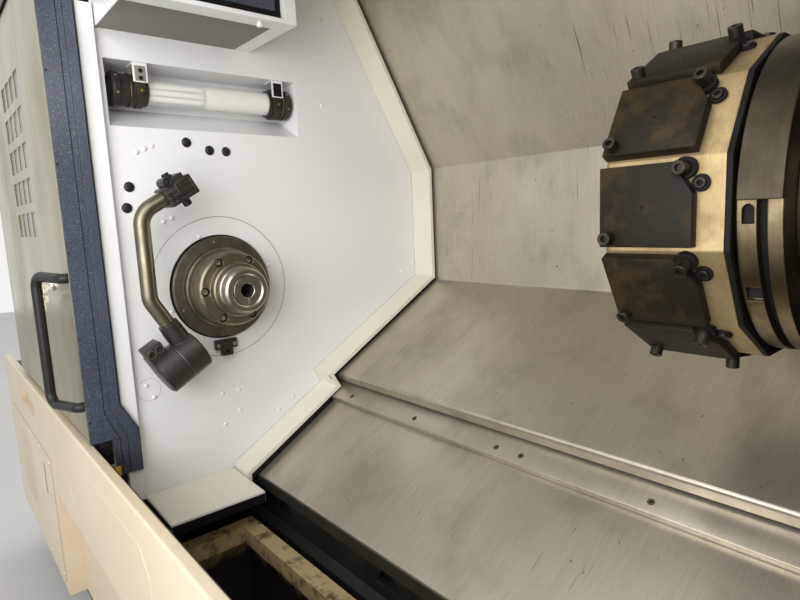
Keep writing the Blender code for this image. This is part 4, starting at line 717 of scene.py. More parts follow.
class Former:
    """Collects the faces of one piece in one frame and makes its object."""

    def __init__(self, frame: Matrix = MACHINE) -> None:
        """Starts an empty piece.

        Args:
            frame: The frame that its places are written in.
        """
        self.bm = bmesh.new()
        self.frame = frame

    def bridge(self, loops: list[list[Any]], closed: bool = False) -> "Former":
        """Joins rings of vertices into walls.

        Args:
            loops: The rings, in order. A ring of one vertex is a tip.
            closed: Whether the last ring joins the first. Otherwise both ends are capped.

        Returns:
            The former itself.
        """
        pairs = list(zip(loops, loops[1:]))
        if closed:
            pairs.append((loops[-1], loops[0]))
        for a, b in pairs:
            count = max(len(a), len(b))
            for i in range(count):
                j = (i + 1) % count
                corners = [a[i % len(a)], a[j % len(a)], b[j % len(b)], b[i % len(b)]]
                self.bm.faces.new(list(dict.fromkeys(corners)))
        if not closed:
            for end in (loops[0], loops[-1]):
                if len(end) > 2:
                    self.bm.faces.new(end)
        return self

    def prism(self, outline: Sequence[Point2], low: float, high: float, along: Along = Along.X) -> "Former":
        """Adds a straight prism.

        Args:
            outline: Its corners, in the two axes square to its own.
            low: Where it starts along its axis.
            high: Where it ends.
            along: The axis's direction.

        Returns:
            The former itself.
        """
        loops = []
        for depth in (low, high):
            points = [(depth, a, b) for a, b in outline]
            loops.append([self.bm.verts.new([p[i] for i in along.order]) for p in points])
        return self.bridge(loops)

    def box(self, low: Point3, high: Point3) -> "Former":
        """Adds a box between its lowest and highest corners.

        Args:
            low: The lowest corner.
            high: The highest corner.

        Returns:
            The former itself.
        """
        outline = [(low[1], low[2]), (high[1], low[2]), (high[1], high[2]), (low[1], high[2])]
        return self.prism(outline, low[0], high[0])

    def turned(
        self, profile: Sequence[Point2], steps: int, place: Point3 = (0, 0, 0), along: Along = Along.X
    ) -> "Former":
        """Adds a turned body.

        Args:
            profile: Points of (along the axis, radius). It ends on the axis at both ends or at neither.
            steps: Number of faces round the axis.
            place: The axis's start.
            along: The axis's direction.

        Returns:
            The former itself.
        """
        frame = Matrix.Translation(place) @ along.turn
        loops = []
        for depth, radius in profile:
            if radius == 0:
                loops.append([self.bm.verts.new(frame @ Vector((depth, 0, 0)))])
                continue
            turns = [2 * pi * i / steps for i in range(steps)]
            loops.append(
                [self.bm.verts.new(frame @ Vector((depth, radius * cos(t), radius * sin(t)))) for t in turns]
            )
        return self.bridge(loops, closed=profile[0][1] > 0)

    def tube(
        self, low: float, high: float, inner: float, outer: float, steps: int, place: Point3 = (0, 0, 0),
        along: Along = Along.X,
    ) -> "Former":
        """Adds a straight tube, or a cylinder where the inner radius is 0.

        Args:
            low: Where it starts along the axis.
            high: Where it ends.
            inner: Its inner radius.
            outer: Its outer radius.
            steps: Number of faces round the axis.
            place: The axis's start.
            along: The axis's direction.

        Returns:
            The former itself.
        """
        return self.turned([(low, inner), (low, outer), (high, outer), (high, inner)], steps, place, along)

    def ring(self, radius: float, wire: float, place: Point3, along: Along) -> "Former":
        """Adds a ring of round wire about an axis.

        Args:
            radius: Radius of the ring's middle line.
            wire: Radius of the wire.
            place: The ring's centre.
            along: The axis's direction.

        Returns:
            The former itself.
        """
        turns = [2 * pi * k / 10 for k in range(10)]
        return self.turned([(wire * sin(t), radius + wire * cos(t)) for t in turns], 32, place, along)

    def radial_holes(self, count: int, first: float, x: float, reach: Point2, radius: float) -> "Former":
        """Adds the bodies of round holes that run towards the X axis, at equal steps.

        Args:
            count: Number of holes.
            first: Turn of the first hole, in degrees.
            x: Their place along the axis.
            reach: Distances from the axis between which they run.
            radius: Their radius.

        Returns:
            The former itself.
        """
        side = Vector((1, 0, 0))
        for i in range(count):
            turn = Matrix.Rotation(radians(first + 360 / count * i), 4, "X")
            ends = [turn @ Vector((x, r, 0)) for r in reach]
            other = (ends[1] - ends[0]).normalized().cross(side)
            ways = [side * cos(k * pi / 8) + other * sin(k * pi / 8) for k in range(16)]
            self.bridge([[self.bm.verts.new(end + way * radius) for way in ways] for end in ends])
        return self

    def made(self, name: str) -> bpy.types.Object:
        """Makes the bare object, with its place in its mesh.

        Args:
            name: The object's name.

        Returns:
            The object.
        """
        bmesh.ops.remove_doubles(self.bm, verts=self.bm.verts, dist=1e-7)
        bmesh.ops.recalc_face_normals(self.bm, faces=self.bm.faces)
        mesh = bpy.data.meshes.new(name)
        self.bm.to_mesh(mesh)
        self.bm.free()
        mesh.transform(self.frame)
        return linked(name, mesh)

    def piece(
        self,
        name: str,
        finish: Finish,
        body: Body | None = None,
        node: str = "",
        bevel: float = 0.0,
        cuts: Iterable["Former"] = (),
        cut_first: bool = True,
        smooth: float = 30.0,
    ) -> bpy.types.Object:
        """Makes the finished mesh, and hands it to its body where it has one.

        Args:
            name: The piece's name.
            finish: Its finish.
            body: The body that it moves with, or None for a form that others are copied from.
            node: The CAD node that it replaces.
            bevel: Width of the rounding of its sharp edges.
            cuts: Formers whose bodies are cut from it.
            cut_first: Whether the cuts come before the rounding.
            smooth: Edges flatter than this many degrees are shaded smooth.

        Returns:
            The piece, with no modifier left.
        """
        obj = self.made(name)
        cutters = [c.made(name + "_cutter") for c in cuts]
        for step in ("cut", "bevel") if cut_first else ("bevel", "cut"):
            if step == "cut":
                for cutter in cutters:
                    modifier = obj.modifiers.new("cut", "BOOLEAN")
                    modifier.operation = "DIFFERENCE"
                    modifier.solver = "EXACT"
                    modifier.object = cutter
            elif bevel:
                modifier = obj.modifiers.new("round", "BEVEL")
                modifier.width = bevel
                modifier.segments = 2
                modifier.limit_method = "ANGLE"
                modifier.angle_limit = radians(28)
        settle(obj)
        for cutter in cutters:
            bpy.data.objects.remove(cutter)
        dress(obj, finish)
        soften(obj, smooth)
        if body:
            rides(obj, body, node)
        return obj


def settle(obj: bpy.types.Object) -> None:
    """Turns an object and its modifiers into a plain mesh.

    Args:
        obj: The object.
    """
    bpy.context.view_layer.update()
    graph = bpy.context.evaluated_depsgraph_get()
    mesh = bpy.data.meshes.new_from_object(obj.evaluated_get(graph))
    obj.modifiers.clear()
    obj.data = mesh
    mesh.name = obj.name


def soften(obj: bpy.types.Object, smooth: float) -> None:
    """Shades an object smooth across edges flatter than an angle in degrees."""
    obj.data.shade_smooth()
    obj.data.set_sharp_from_angle(angle=radians(smooth))


def rides(obj: bpy.types.Object, body: Body, node: str = "") -> None:
    """Hands a finished piece to its body.

    Args:
        obj: The piece.
        body: The body that it moves with.
        node: The CAD node that it replaces.
    """
    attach(obj, body.value)
    if node:
        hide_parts(node)
    log.info("%s on %s, %d faces", obj.name, body.value, len(obj.data.polygons))


# Geometry Nodes


class Tree:
    """A Geometry Nodes tree with named inputs, which ends in Realize Instances and Set Material."""

    def __init__(self, name: str, sockets: dict[str, str]) -> None:
        """Starts the tree.

        Args:
            name: The tree's name.
            sockets: Kind of each named input.
        """
        self.group = bpy.data.node_groups.new(name, "GeometryNodeTree")
        face = self.group.interface
        face.new_socket("Geometry", in_out="OUTPUT", socket_type="NodeSocketGeometry")
        for label, kind in {"Geometry": "Geometry", **sockets, "Material": "Material"}.items():
            face.new_socket(label, in_out="INPUT", socket_type="NodeSocket" + kind)
        self.start = self.group.nodes.new("NodeGroupInput")
        self.end = self.group.nodes.new("NodeGroupOutput")

    def put(self, kind: str, inputs: dict[Any, Any] | None = None, **settings: Any) -> Any:
        """Adds a node to the tree."""
        return add_node(self.group, kind, inputs, **settings)

    def add(self, kind: str, inputs: dict[Any, Any] | None = None, **settings: Any) -> Any:
        """Adds a node to the tree and gives its first output."""
        return self.put(kind, inputs, **settings).outputs[0]

    def given(self, label: str) -> Any:
        """The socket of a named input."""
        return self.start.outputs[label]

    def copy_form(self, points: Any, turn: Any) -> None:
        """Sets the tree's form on points and ends the tree.

        Args:
            points: Socket of the points.
            turn: Socket of the turn of each copy, as Euler angles.
        """
        form = self.put("GeometryNodeObjectInfo", {"Object": self.given("Form"), "As Instance": True})
        turned = self.add("FunctionNodeEulerToRotation", {0: turn})
        inputs = {"Points": points, "Instance": form.outputs["Geometry"], "Rotation": turned}
        self.close(self.add("GeometryNodeInstanceOnPoints", inputs))

    def close(self, geometry: Any) -> None:
        """Realises the instances, sets the material and ends the tree.

        Args:
            geometry: Socket of the tree's result.
        """
        real = self.add("GeometryNodeRealizeInstances", {"Geometry": geometry})
        painted = self.add("GeometryNodeSetMaterial", {"Geometry": real, "Material": self.given("Material")})
        self.group.links.new(painted, self.end.inputs["Geometry"])

    def grow(self, name: str, source: bpy.types.Object, finish: Finish, **inputs: Any) -> bpy.types.Object:
        """Runs the tree on an object and leaves a plain mesh.

        Args:
            name: The piece's name.
            source: The object that the tree starts from.
            finish: The piece's finish.
            **inputs: Values of the named inputs, with spaces written as underscores.

        Returns:
            The piece.
        """
        source.name = name
        modifier = source.modifiers.new(self.group.name, "NODES")
        modifier.node_group = self.group
        wanted = {key.replace("_", " "): value for key, value in inputs.items()}
        wanted["Material"] = finish.material()
        for item in self.group.interface.items_tree:
            if item.item_type == "SOCKET" and item.in_out == "INPUT" and item.name in wanted:
                modifier[item.identifier] = wanted[item.name]
        settle(source)
        soften(source, 35)
        return source


def point_tree() -> Tree:
    """Sets a form on every point, turned as the point's own attribute says.

    Returns:
        The tree.
    """
    tree = Tree("Form on points", {"Form": "Object"})
    turn = tree.put("GeometryNodeInputNamedAttribute", {"Name": "turn"}, data_type="FLOAT_VECTOR")
    tree.copy_form(tree.given("Geometry"), turn.outputs["Attribute"])
    return tree


def station_tree() -> Tree:
    """Sets a form round an axis, at equal steps.

    Returns:
        The tree.
    """
    sockets = {
        "Form": "Object", "Stations": "Int", "Centre": "Vector", "Axis": "Vector", "First turn": "Float"
    }
    tree = Tree("Form at stations", sockets)
    stations = tree.given("Stations")
    points = tree.add("GeometryNodePoints", {"Count": stations, "Position": tree.given("Centre")})
    step = tree.add("ShaderNodeMath", {0: 2 * pi, 1: stations}, operation="DIVIDE")
    inputs = {0: tree.add("GeometryNodeInputIndex"), 1: step, 2: tree.given("First turn")}
    angle = tree.add("ShaderNodeMath", inputs, operation="MULTIPLY_ADD")
    inputs = {0: tree.given("Axis"), "Scale": angle}
    tree.copy_form(points, tree.add("ShaderNodeVectorMath", inputs, operation="SCALE"))
    return tree


def tube_tree() -> Tree:
    """Bends a round tube along a line of points, with an even radius at each corner.

    Returns:
        The tree.
    """
    tree = Tree("Tube on a line", {"Radius": "Float", "Bend": "Float", "Sides": "Int"})
    line = tree.add("GeometryNodeMeshToCurve", {"Mesh": tree.given("Geometry")})
    inputs = {"Curve": line, "Count": 14, "Radius": tree.given("Bend"), "Limit Radius": True}
    bent = tree.add("GeometryNodeFilletCurve", inputs, mode="POLY")
    inputs = {"Resolution": tree.given("Sides"), "Radius": tree.given("Radius")}
    circle = tree.add("GeometryNodeCurvePrimitiveCircle", inputs)
    inputs = {"Curve": bent, "Profile Curve": circle, "Fill Caps": True}
    tree.close(tree.add("GeometryNodeCurveToMesh", inputs))
    return tree


def disc_tree() -> Tree:
    """Makes a disc with a flat for each station, with its two ends drawn in.

    Returns:
        The tree.
    """
    sizes = ("Flat", "Thick", "Front share", "Rear share")
    tree = Tree("Station disc", {"Stations": "Int", **dict.fromkeys(sizes, "Float"), "Centre": "Vector"})

    stations, thick = tree.given("Stations"), tree.given("Thick")
    half_turn = tree.add("ShaderNodeMath", {0: pi, 1: stations}, operation="DIVIDE")
    narrow = tree.add("ShaderNodeMath", {0: half_turn}, operation="COSINE")
    corner = tree.add("ShaderNodeMath", {0: tree.given("Flat"), 1: narrow}, operation="DIVIDE")
    inputs = {"Vertices": stations, "Side Segments": 24, "Radius": corner, "Depth": thick}
    drum = tree.add("GeometryNodeMeshCylinder", inputs)
    place = tree.add("GeometryNodeInputPosition")
    height = tree.put("ShaderNodeSeparateXYZ", {0: place}).outputs["Z"]
    # the end rings are the vertices beyond nearly half the thickness
    edge = tree.add("ShaderNodeMath", {0: thick, 1: 0.499}, operation="MULTIPLY")
    low_edge = tree.add("ShaderNodeMath", {0: edge, 1: -1.0}, operation="MULTIPLY")
    rear = tree.add("ShaderNodeMath", {0: height, 1: edge}, operation="GREATER_THAN")
    front = tree.add("ShaderNodeMath", {0: height, 1: low_edge}, operation="LESS_THAN")
    both = 1.0
    for side, share in ((rear, "Rear share"), (front, "Front share")):
        loss = tree.add("ShaderNodeMath", {0: tree.given(share), 1: -1.0}, operation="ADD")
        drawn = tree.add("ShaderNodeMath", {0: side, 1: loss, 2: 1.0}, operation="MULTIPLY_ADD")
        both = tree.add("ShaderNodeMath", {0: both, 1: drawn}, operation="MULTIPLY")
    scale = tree.add("ShaderNodeCombineXYZ", {"X": both, "Y": both, "Z": 1.0})
    shaped = tree.add("ShaderNodeVectorMath", {0: place, 1: scale}, operation="MULTIPLY")
    ends = tree.add("GeometryNodeSetPosition", {"Geometry": drum, "Position": shaped})
    level = tree.add("GeometryNodeTransform", {"Geometry": ends, "Rotation": (0, 0, STATION_HALF)})
    inputs = {"Geometry": level, "Rotation": (0, pi / 2, 0), "Translation": tree.given("Centre")}
    tree.close(tree.add("GeometryNodeTransform", inputs))
    return tree


@dataclass
class Workshop:
    """The Geometry Nodes trees that the sub-assemblies share."""

    points: Tree = field(default_factory=point_tree)
    stations: Tree = field(default_factory=station_tree)
    tube: Tree = field(default_factory=tube_tree)
    disc: Tree = field(default_factory=disc_tree)

    def scatter(
        self, name: str, form: bpy.types.Object, places: Iterable[Point3], facing: Point3, finish: Finish,
        frame: Matrix = MACHINE, body: Body = Body.MACHINE,
    ) -> None:
        """Sets copies of a form on points, all facing one way.

        Args:
            name: The piece's name.
            form: The form, which stands on the origin and faces X. It is used up.
            places: The points in the frame, or their Y and Z alone where X is 0.
            facing: The direction that the copies face, in the frame.
            finish: The piece's finish.
            frame: The frame of the places.
            body: The body that the piece moves with.
        """
        spots = [frame @ Vector((0, *p)[-3:]) for p in places]
        mesh = bpy.data.meshes.new(name)
        mesh.from_pydata([tuple(p) for p in spots], [], [])
        way = (frame.to_3x3() @ Vector(facing)).to_track_quat("X", "Z").to_euler()
        turn = mesh.attributes.new("turn", "FLOAT_VECTOR", "POINT")
        turn.data.foreach_set("vector", list(way) * len(spots))
        source = linked(name, mesh)
        rides(self.points.grow(name, source, finish, Form=form), body)
        bpy.data.objects.remove(form)

    def round_axis(
        self, name: str, form: bpy.types.Object, stations: int, centre: Vector, finish: Finish,
        along: Along = Along.X, first: float = 0.0, body: Body = Body.MACHINE,
    ) -> None:
        """Sets copies of a form round an axis.

        Args:
            name: The piece's name.
            form: The form, written about the centre. It is used up.
            stations: Number of copies.
            centre: A point of the axis, in the frame whose origin is on the floor.
            finish: The piece's finish.
            along: The axis's direction.
            first: Turn of the first copy.
            body: The body that the piece moves with.
        """
        source = linked(name, bpy.data.meshes.new(name))
        axis = [float(along.value == letter) for letter in "XYZ"]
        grown = self.stations.grow(
            name, source, finish, Form=form, Stations=stations, Centre=list(centre), Axis=axis,
            First_turn=first
        )
        bpy.data.objects.remove(form)
        rides(grown, body)

    def bent_tube(
        self, name: str, line: Sequence[Point3], radius: float, bend: float, finish: Finish,
        frame: Matrix = MACHINE, sides: int = 32, body: Body = Body.MACHINE, node: str = "",
    ) -> None:
        """Bends a tube along a line.

        Args:
            name: The piece's name.
            line: Its corner points in the frame.
            radius: The tube's radius.
            bend: The radius of each bend.
            finish: The piece's finish.
            frame: The frame of the line.
            sides: Number of faces round the tube.
            body: The body that the piece moves with.
            node: The CAD node that it replaces.
        """
        spots = [frame @ Vector(p) for p in line]
        mesh = bpy.data.meshes.new(name)
        mesh.from_pydata([tuple(p) for p in spots], [(i, i + 1) for i in range(len(spots) - 1)], [])
        source = linked(name, mesh)
        rides(self.tube.grow(name, source, finish, Radius=radius, Bend=bend, Sides=sides), body, node)


def rounded_line(points: Sequence[Point2], radii: Sequence[float], steps: int = 7) -> list[Point2]:
    """A line with an arc at each inner corner.

    Args:
        points: The line's corners.
        radii: Radius at each inner corner.
        steps: Number of steps of each arc.

    Returns:
        The rounded line's points.
    """
    line = [tuple(points[0])]
    for before, corner, after, radius in zip(points, points[1:], points[2:], radii):
        spot = Vector(corner)
        a, b = (Vector(before) - spot).normalized(), (Vector(after) - spot).normalized()
        half = a.angle(b) / 2
        centre = spot + (a + b).normalized() * radius / sin(half)
        start, end = spot + a * radius / math.tan(half) - centre, spot + b * radius / math.tan(half) - centre
        sweep = start.angle_signed(end)
        for i in range(steps + 1):
            line.append(tuple(centre + Matrix.Rotation(-sweep * i / steps, 2) @ start))
    return line + [tuple(points[-1])]


def sheet_outline(points: Sequence[Point2], sheet: float, radius: float) -> list[Point2]:
    """Outline of a bent sheet that lies a thickness to the left of a line.

    Args:
        points: The line's corners.
        sheet: The sheet's thickness.
        radius: Radius on the outside of the bends that turn left, and on the inside of the others.

    Returns:
        The closed outline.
    """
    spots = [Vector(p) for p in points]
    ways = [(b - a).normalized() for a, b in zip(spots, spots[1:])]
    lefts = [Vector((-w.y, w.x)) for w in ways]
    inner, near, far = [spots[0] + lefts[0] * sheet], [], []
    for spot, way, after, left, next_left in zip(spots[1:], ways, ways[1:], lefts, lefts[1:]):
        middle = (left + next_left).normalized()
        inner.append(spot + middle * sheet / middle.dot(left))
        bends_left = way.x * after.y - way.y * after.x > 0
        near.append(radius)
        far.append(max(radius - sheet, 0.0004) if bends_left else radius + sheet)
    inner.append(spots[-1] + lefts[-1] * sheet)
    return rounded_line(points, near) + rounded_line([tuple(p) for p in inner], far)[::-1]


def hexagon(radius: float, y: float = 0.0, z: float = 0.0) -> list[Point2]:
    """Corners of a hexagon about a point."""
    return [(y + radius * cos(pi * i / 3), z + radius * sin(pi * i / 3)) for i in range(6)]


def cap_screw(name: str, radius: float, height: float) -> bpy.types.Object:
    """A cap screw's head that stands on the origin along X, with its hexagon socket.

    Args:
        name: The form's name.
        radius: The head's radius.
        height: The head's height.

    Returns:
        The form.
    """
    sink, edge = 0.0005, radius * 0.1
    profile = [(-sink, 0), (-sink, radius), (height - edge, radius), (height, radius - edge), (height, 0)]
    head = Former(LOOSE).turned(profile, 24)
    socket = Former(LOOSE).prism(hexagon(radius * 0.55), height * 0.35, height + 0.01)
    return head.piece(name, BLACK_SCREW, cuts=[socket])


def dome(name: str, radius: float, height: float, steps: int = 20) -> bpy.types.Object:
    """A low dome that stands on the origin along X.

    Args:
        name: The form's name.
        radius: The dome's radius.
        height: The dome's height.
        steps: Number of faces round it.

    Returns:
        The form.
    """
    sink = 0.0004
    rise = [(height * sin(pi / 2 * k / 5), radius * cos(pi / 2 * k / 5)) for k in range(5)]
    profile = [(-sink, 0), (-sink, radius), *rise, (height, 0)]
    return Former(LOOSE).turned(profile, steps).piece(name, WHITE)


# Sub-assemblies


@dataclass
class Assembly:
    """A group of pieces of the machine, made in one shop."""

    shop: Workshop

    def build(self) -> None:
        """Makes the group's pieces."""
        raise NotImplementedError


@dataclass
class HeadstockWall(Assembly):
    """Plugs, rivets and seams of the white wall round the spindle."""

    plugs: tuple[Point2, ...] = (
        (-0.049, 0.301), (-0.002, 0.287), (0.034, 0.286), (-0.168, 0.212), (-0.176, 0.172)
    )
    plug_radius: float = 0.0100
    rivets: tuple[Point2, ...] = (
        (-0.148, 0.278), (-0.133, 0.285), (-0.118, 0.291), (-0.110, 0.144), (-0.093, 0.151), (-0.041, 0.110),
        (0.298, 0.595), (0.284, 0.402), (0.448, 0.451), (0.113, 0.038), (-0.021, -0.234), (0.017, -0.234),
        (0.016, -0.281), (-0.021, -0.304), (0.151, -0.280), (0.111, -0.304), (-0.112, -0.039),
        (-0.177, -0.181),
        (-0.164, -0.208), (0.512, -0.014), (0.553, 0.007),
    )
    rivet_radius: float = 0.0048
    ring_radius: float = 0.150
    ring_gap: float = 0.0004
    disc_gap: Point2 = (0.1092, 0.1119)
    seam_depth: Point2 = (-0.001, 0.0003)
    port: Point3 = (0, -0.172, -0.1905)
    port_seam: Point2 = (0.0225, 0.0230)
    ledge_y: Point2 = (-0.2012, -0.0132)
    ledge_x: Point2 = (0.0008, 0.1515)
    ledge_z: Point2 = (-0.4072, -0.4117)
    edging_z: Point2 = (-0.4340, -0.4150)

    def build(self) -> None:
        """Makes the wall's small pieces."""
        self.shop.scatter(
            "wall_plugs", dome("plug_form", self.plug_radius, 0.0042, 28), self.plugs, (1, 0, 0), BLACK
        )
        rivet = dome("rivet_form", self.rivet_radius, 0.0030)
        self.shop.scatter("wall_rivets", rivet, self.rivets, (1, 0, 0), WHITE)
        r = self.ring_radius
        seam = Former().tube(*self.seam_depth, r - 0.0002, r + 0.0007, 96)
        seam.tube(
            *self.seam_depth, *self.port_seam, 48, self.port
        ).piece("cover_ring_seam", SEAM_GREY, Body.MACHINE)
        (x0, x1), (z0, z1), paper = self.ledge_x, self.ledge_z, 0.0004
        liner = Former().prism(
            [(x0, z0), (x1, z1), (x1, z1 + paper), (x0, z0 + paper)], *self.ledge_y, Along.Y
        )
        liner.piece("ledge_liner", CREAM, Body.MACHINE)
        low, high = self.edging_z
        lip = Former().box((0.1522, -0.2015, low), (0.1530, -0.0135, high))
        lip.box((0.0040, -0.2030, low), (0.1525, -0.2022, high)).piece("ledge_edging", BLACK_RUBBER_AND_SHADE, Body.MACHINE)
        outer, edge = self.disc_gap[1], r - self.ring_gap
        shape = [(-0.006, outer), (-0.006, edge), (0.0002, edge), (0.0002, outer + 0.0006), (-0.0004, outer)]
        Former().turned(shape, 96).piece("round_cover", WHITE, Body.MACHINE, "spindle_cover_ring")


@dataclass
class NozzleBlock(Assembly):
    """The small black block under the spindle disc."""

    low: float = -0.138
    high: float = -0.1135
    drop: float = 0.010

    def build(self) -> None:
        """Makes the block with its pad, its two screws and its outlet."""
        form = Former().box((0.0003, -0.031, self.low + 0.004), (0.010, 0.018, self.high))
        form.box((0.0003, -0.018, self.low - self.drop), (0.016, 0.005, self.high - 0.002))
        outlet = Former().tube(0.008, 0.02, 0, 0.003, 16, (0, -0.0065, self.low))
        form.piece(
            "coolant_outlet_block", SETTER_BLACK, Body.MACHINE, "coolant_nozzle_block", bevel=0.0008,
            cuts=[outlet], cut_first=False
        )
        screws = Former()
        for y in (-0.0245, 0.0115):
            screws.turned(
                [(0.0095, 0), (0.0095, 0.0044), (0.0122, 0.0044), (0.0128, 0.0036), (0.0128, 0)], 20,
                (0, y, -0.125)
            )
        screws.piece("outlet_block_screws", BRIGHT_STEEL, Body.MACHINE)


@dataclass
class RimWiper(Assembly):
    """Black wiper strips that close the gap between the rim and the covers behind it."""

    strips: tuple[tuple[Point2, Point2, float], ...] = (
        ((0.2437, 0.799), (0.560, 0.251), 0.0125),
        ((0.560, 0.251), (0.560, -0.0277), 0.0145),
        ((0.560, -0.0277), (0.2126, -0.2283), 0.0168),
        ((0.2311, -0.2603), (-0.0105, -0.3998), 0.0235),
    )
    near: float = 0.0635
    far: float = 0.0672

    def build(self) -> None:
        """Makes the strips as one piece."""
        form = Former()
        for (y0, z0), (y1, z1), reach in self.strips:
            way = Vector((y1 - y0, z1 - z0)).normalized()
            out = Vector((-way.y, way.x))
            a, b = Vector((y0, z0)), Vector((y1, z1))
            outline = [a + out * 0.0027, b + out * 0.0027, b + out * reach, a + out * reach]
            form.prism([tuple(p) for p in outline], self.near, self.far)
        form.piece("rim_wiper", BLACK_RUBBER_AND_SHADE, Body.MACHINE)


@dataclass
class WorkLight(Assembly):
    """The tube lamp in the recess: caps, clamping rings, glass, lamp, screws and studs."""

    centre_x: float = -0.036
    centre_z: float = 0.400
    glass: Point2 = (-0.109, 0.152)
    glass_radius: float = 0.025
    glass_wall: float = 0.0025
    cap_ends: Point2 = (-0.176, 0.205)
    clamps: Point2 = (-0.1255, 0.168)
    bracket_face: float = -0.0008

    def cap(self, side: str, seat: float, end: float) -> None:
        """Makes one end cap with its bright ring and the screws in its face.

        Args:
            side: Left or right, as the pieces are named.
            seat: Where the cap meets the glass.
            end: Where it ends.
        """
        away = -1 if end < seat else 1
        length = abs(end - seat)
        shape = [
            (0, 0), (0, 0.0285), (0.0006, 0.029), (0.0100, 0.029), (0.0104, 0.0330), (0.0216, 0.0330),
            (0.0222, 0.0300), (0.0300, 0.0300), (0.0300, 0.0285), (0.0350, 0.0285), (0.0350, 0.0300),
            (length - 0.0150, 0.0300), (length - 0.0146, 0.0322), (length - 0.0135, 0.0330),
            (length - 0.0030, 0.0330), (length - 0.0006, 0.0312), (length, 0.0300), (length, 0.0250),
            (length - 0.0012, 0.0245), (length - 0.0012, 0),
        ]
        place = (self.centre_x, 0, self.centre_z)
        profile = [(seat + away * t, r) for t, r in shape]
        body = Former().turned(profile, 64, place, Along.Y)
        clamp = self.clamps[0] if away < 0 else self.clamps[1]
        body.box(
            (self.centre_x, clamp - 0.009, self.centre_z),
            (self.bracket_face - 0.0023, clamp + 0.009, self.centre_z + 0.029)
        )
        body.piece(f"lamp_cap_{side}", SETTER_BLACK, Body.MACHINE, f"work_light_{side}_cap")
        ring = [
            (0.0303, 0.0280), (0.0303, 0.0318), (0.0308, 0.0323), (0.0342, 0.0323), (0.0347, 0.0318),
            (0.0347, 0.0280)
        ]
        band = Former().turned([(seat + away * t, r) for t, r in ring], 64, place, Along.Y)
        band.piece(f"lamp_ring_{side}", HOUSING_STEEL, Body.MACHINE)
        stud = Former(LOOSE).turned(
            [(0.0318, 0), (0.0318, 0.0024), (0.0338, 0.0024), (0.0341, 0.0019), (0.0341, 0)], 12,
            (0, end - away * 0.0085, 0)
        ).piece("ring_screw_form", BRIGHT_STEEL)
        centre = SPINDLE + Vector(place)
        self.shop.round_axis(f"lamp_ring_screws_{side}", stud, 6, centre, BRIGHT_STEEL, Along.Y, 0.35)

    def build(self) -> None:
        """Makes the whole lamp."""
        place = (self.centre_x, 0, self.centre_z)
        low, high = self.glass
        r, wall = self.glass_radius, self.glass_wall
        tube = Former().tube(low, high, r - wall, r, 64, place, Along.Y)
        tube.piece("lamp_glass", GLASS, Body.MACHINE, "work_light_glass")
        inner = r - wall - 0.0006
        lamp = Former().turned(
            [(0.007, 0), (0.007, inner - 0.001), (0.008, inner), (high, inner), (high, 0)], 48, place, Along.Y
        )
        for lift in (-0.0128, 0.0, 0.0128):
            bar = (self.centre_x + 0.006, 0, self.centre_z + lift)
            lamp.tube(low, 0.0075, 0, 0.0047, 20, bar, Along.Y)
        lamp.piece("lamp_sleeve_and_bars", LAMP, Body.MACHINE, "work_light_lamp")
        tray = Former().box(
            (self.centre_x - 0.0030, low, self.centre_z - 0.0205),
            (self.centre_x - 0.0015, 0.0066, self.centre_z + 0.0205)
        )
        tray.tube(0.0056, 0.0068, 0.0120, 0.0220, 48, place, Along.Y)
        tray.piece("lamp_tray", SEAM_GREY, Body.MACHINE)
        for y, finish in zip(self.clamps, (SEAM_GREY, BLACK_RUBBER_AND_SHADE)):
            low_z, high_z = self.centre_z + 0.0122, self.centre_z + 0.0402
            plate = Former().box(
                (self.bracket_face + 0.0001, y - 0.0100, low_z),
                (self.bracket_face + 0.0005, y + 0.0100, high_z)
            )
            plate.piece(
                "bracket_plate_left" if finish is SEAM_GREY else "bracket_plate_right", finish, Body.MACHINE
            )
        self.cap("left", low - 0.0003, self.cap_ends[0])
        self.cap("right", high + 0.0003, self.cap_ends[1])
        spots = [(self.bracket_face, y, z) for y in self.clamps for z in (0.4313, 0.4178)]
        self.shop.scatter(
            "bracket_screws", cap_screw("bracket_screw_form", 0.0040, 0.0030), spots, (1, 0, 0), BLACK_SCREW
        )
        studs = Former()
        for y in self.clamps:
            here = (self.centre_x, y + 0.002, self.centre_z - 0.004)
            studs.turned(
                [
                    (0.030, 0), (0.030, 0.0042), (0.0345, 0.0042), (0.0345, 0.0024), (0.0395, 0.0024),
                    (0.0395, 0)
                ],
                6, here
            )
        studs.piece("lamp_studs", BRASS, Body.MACHINE)


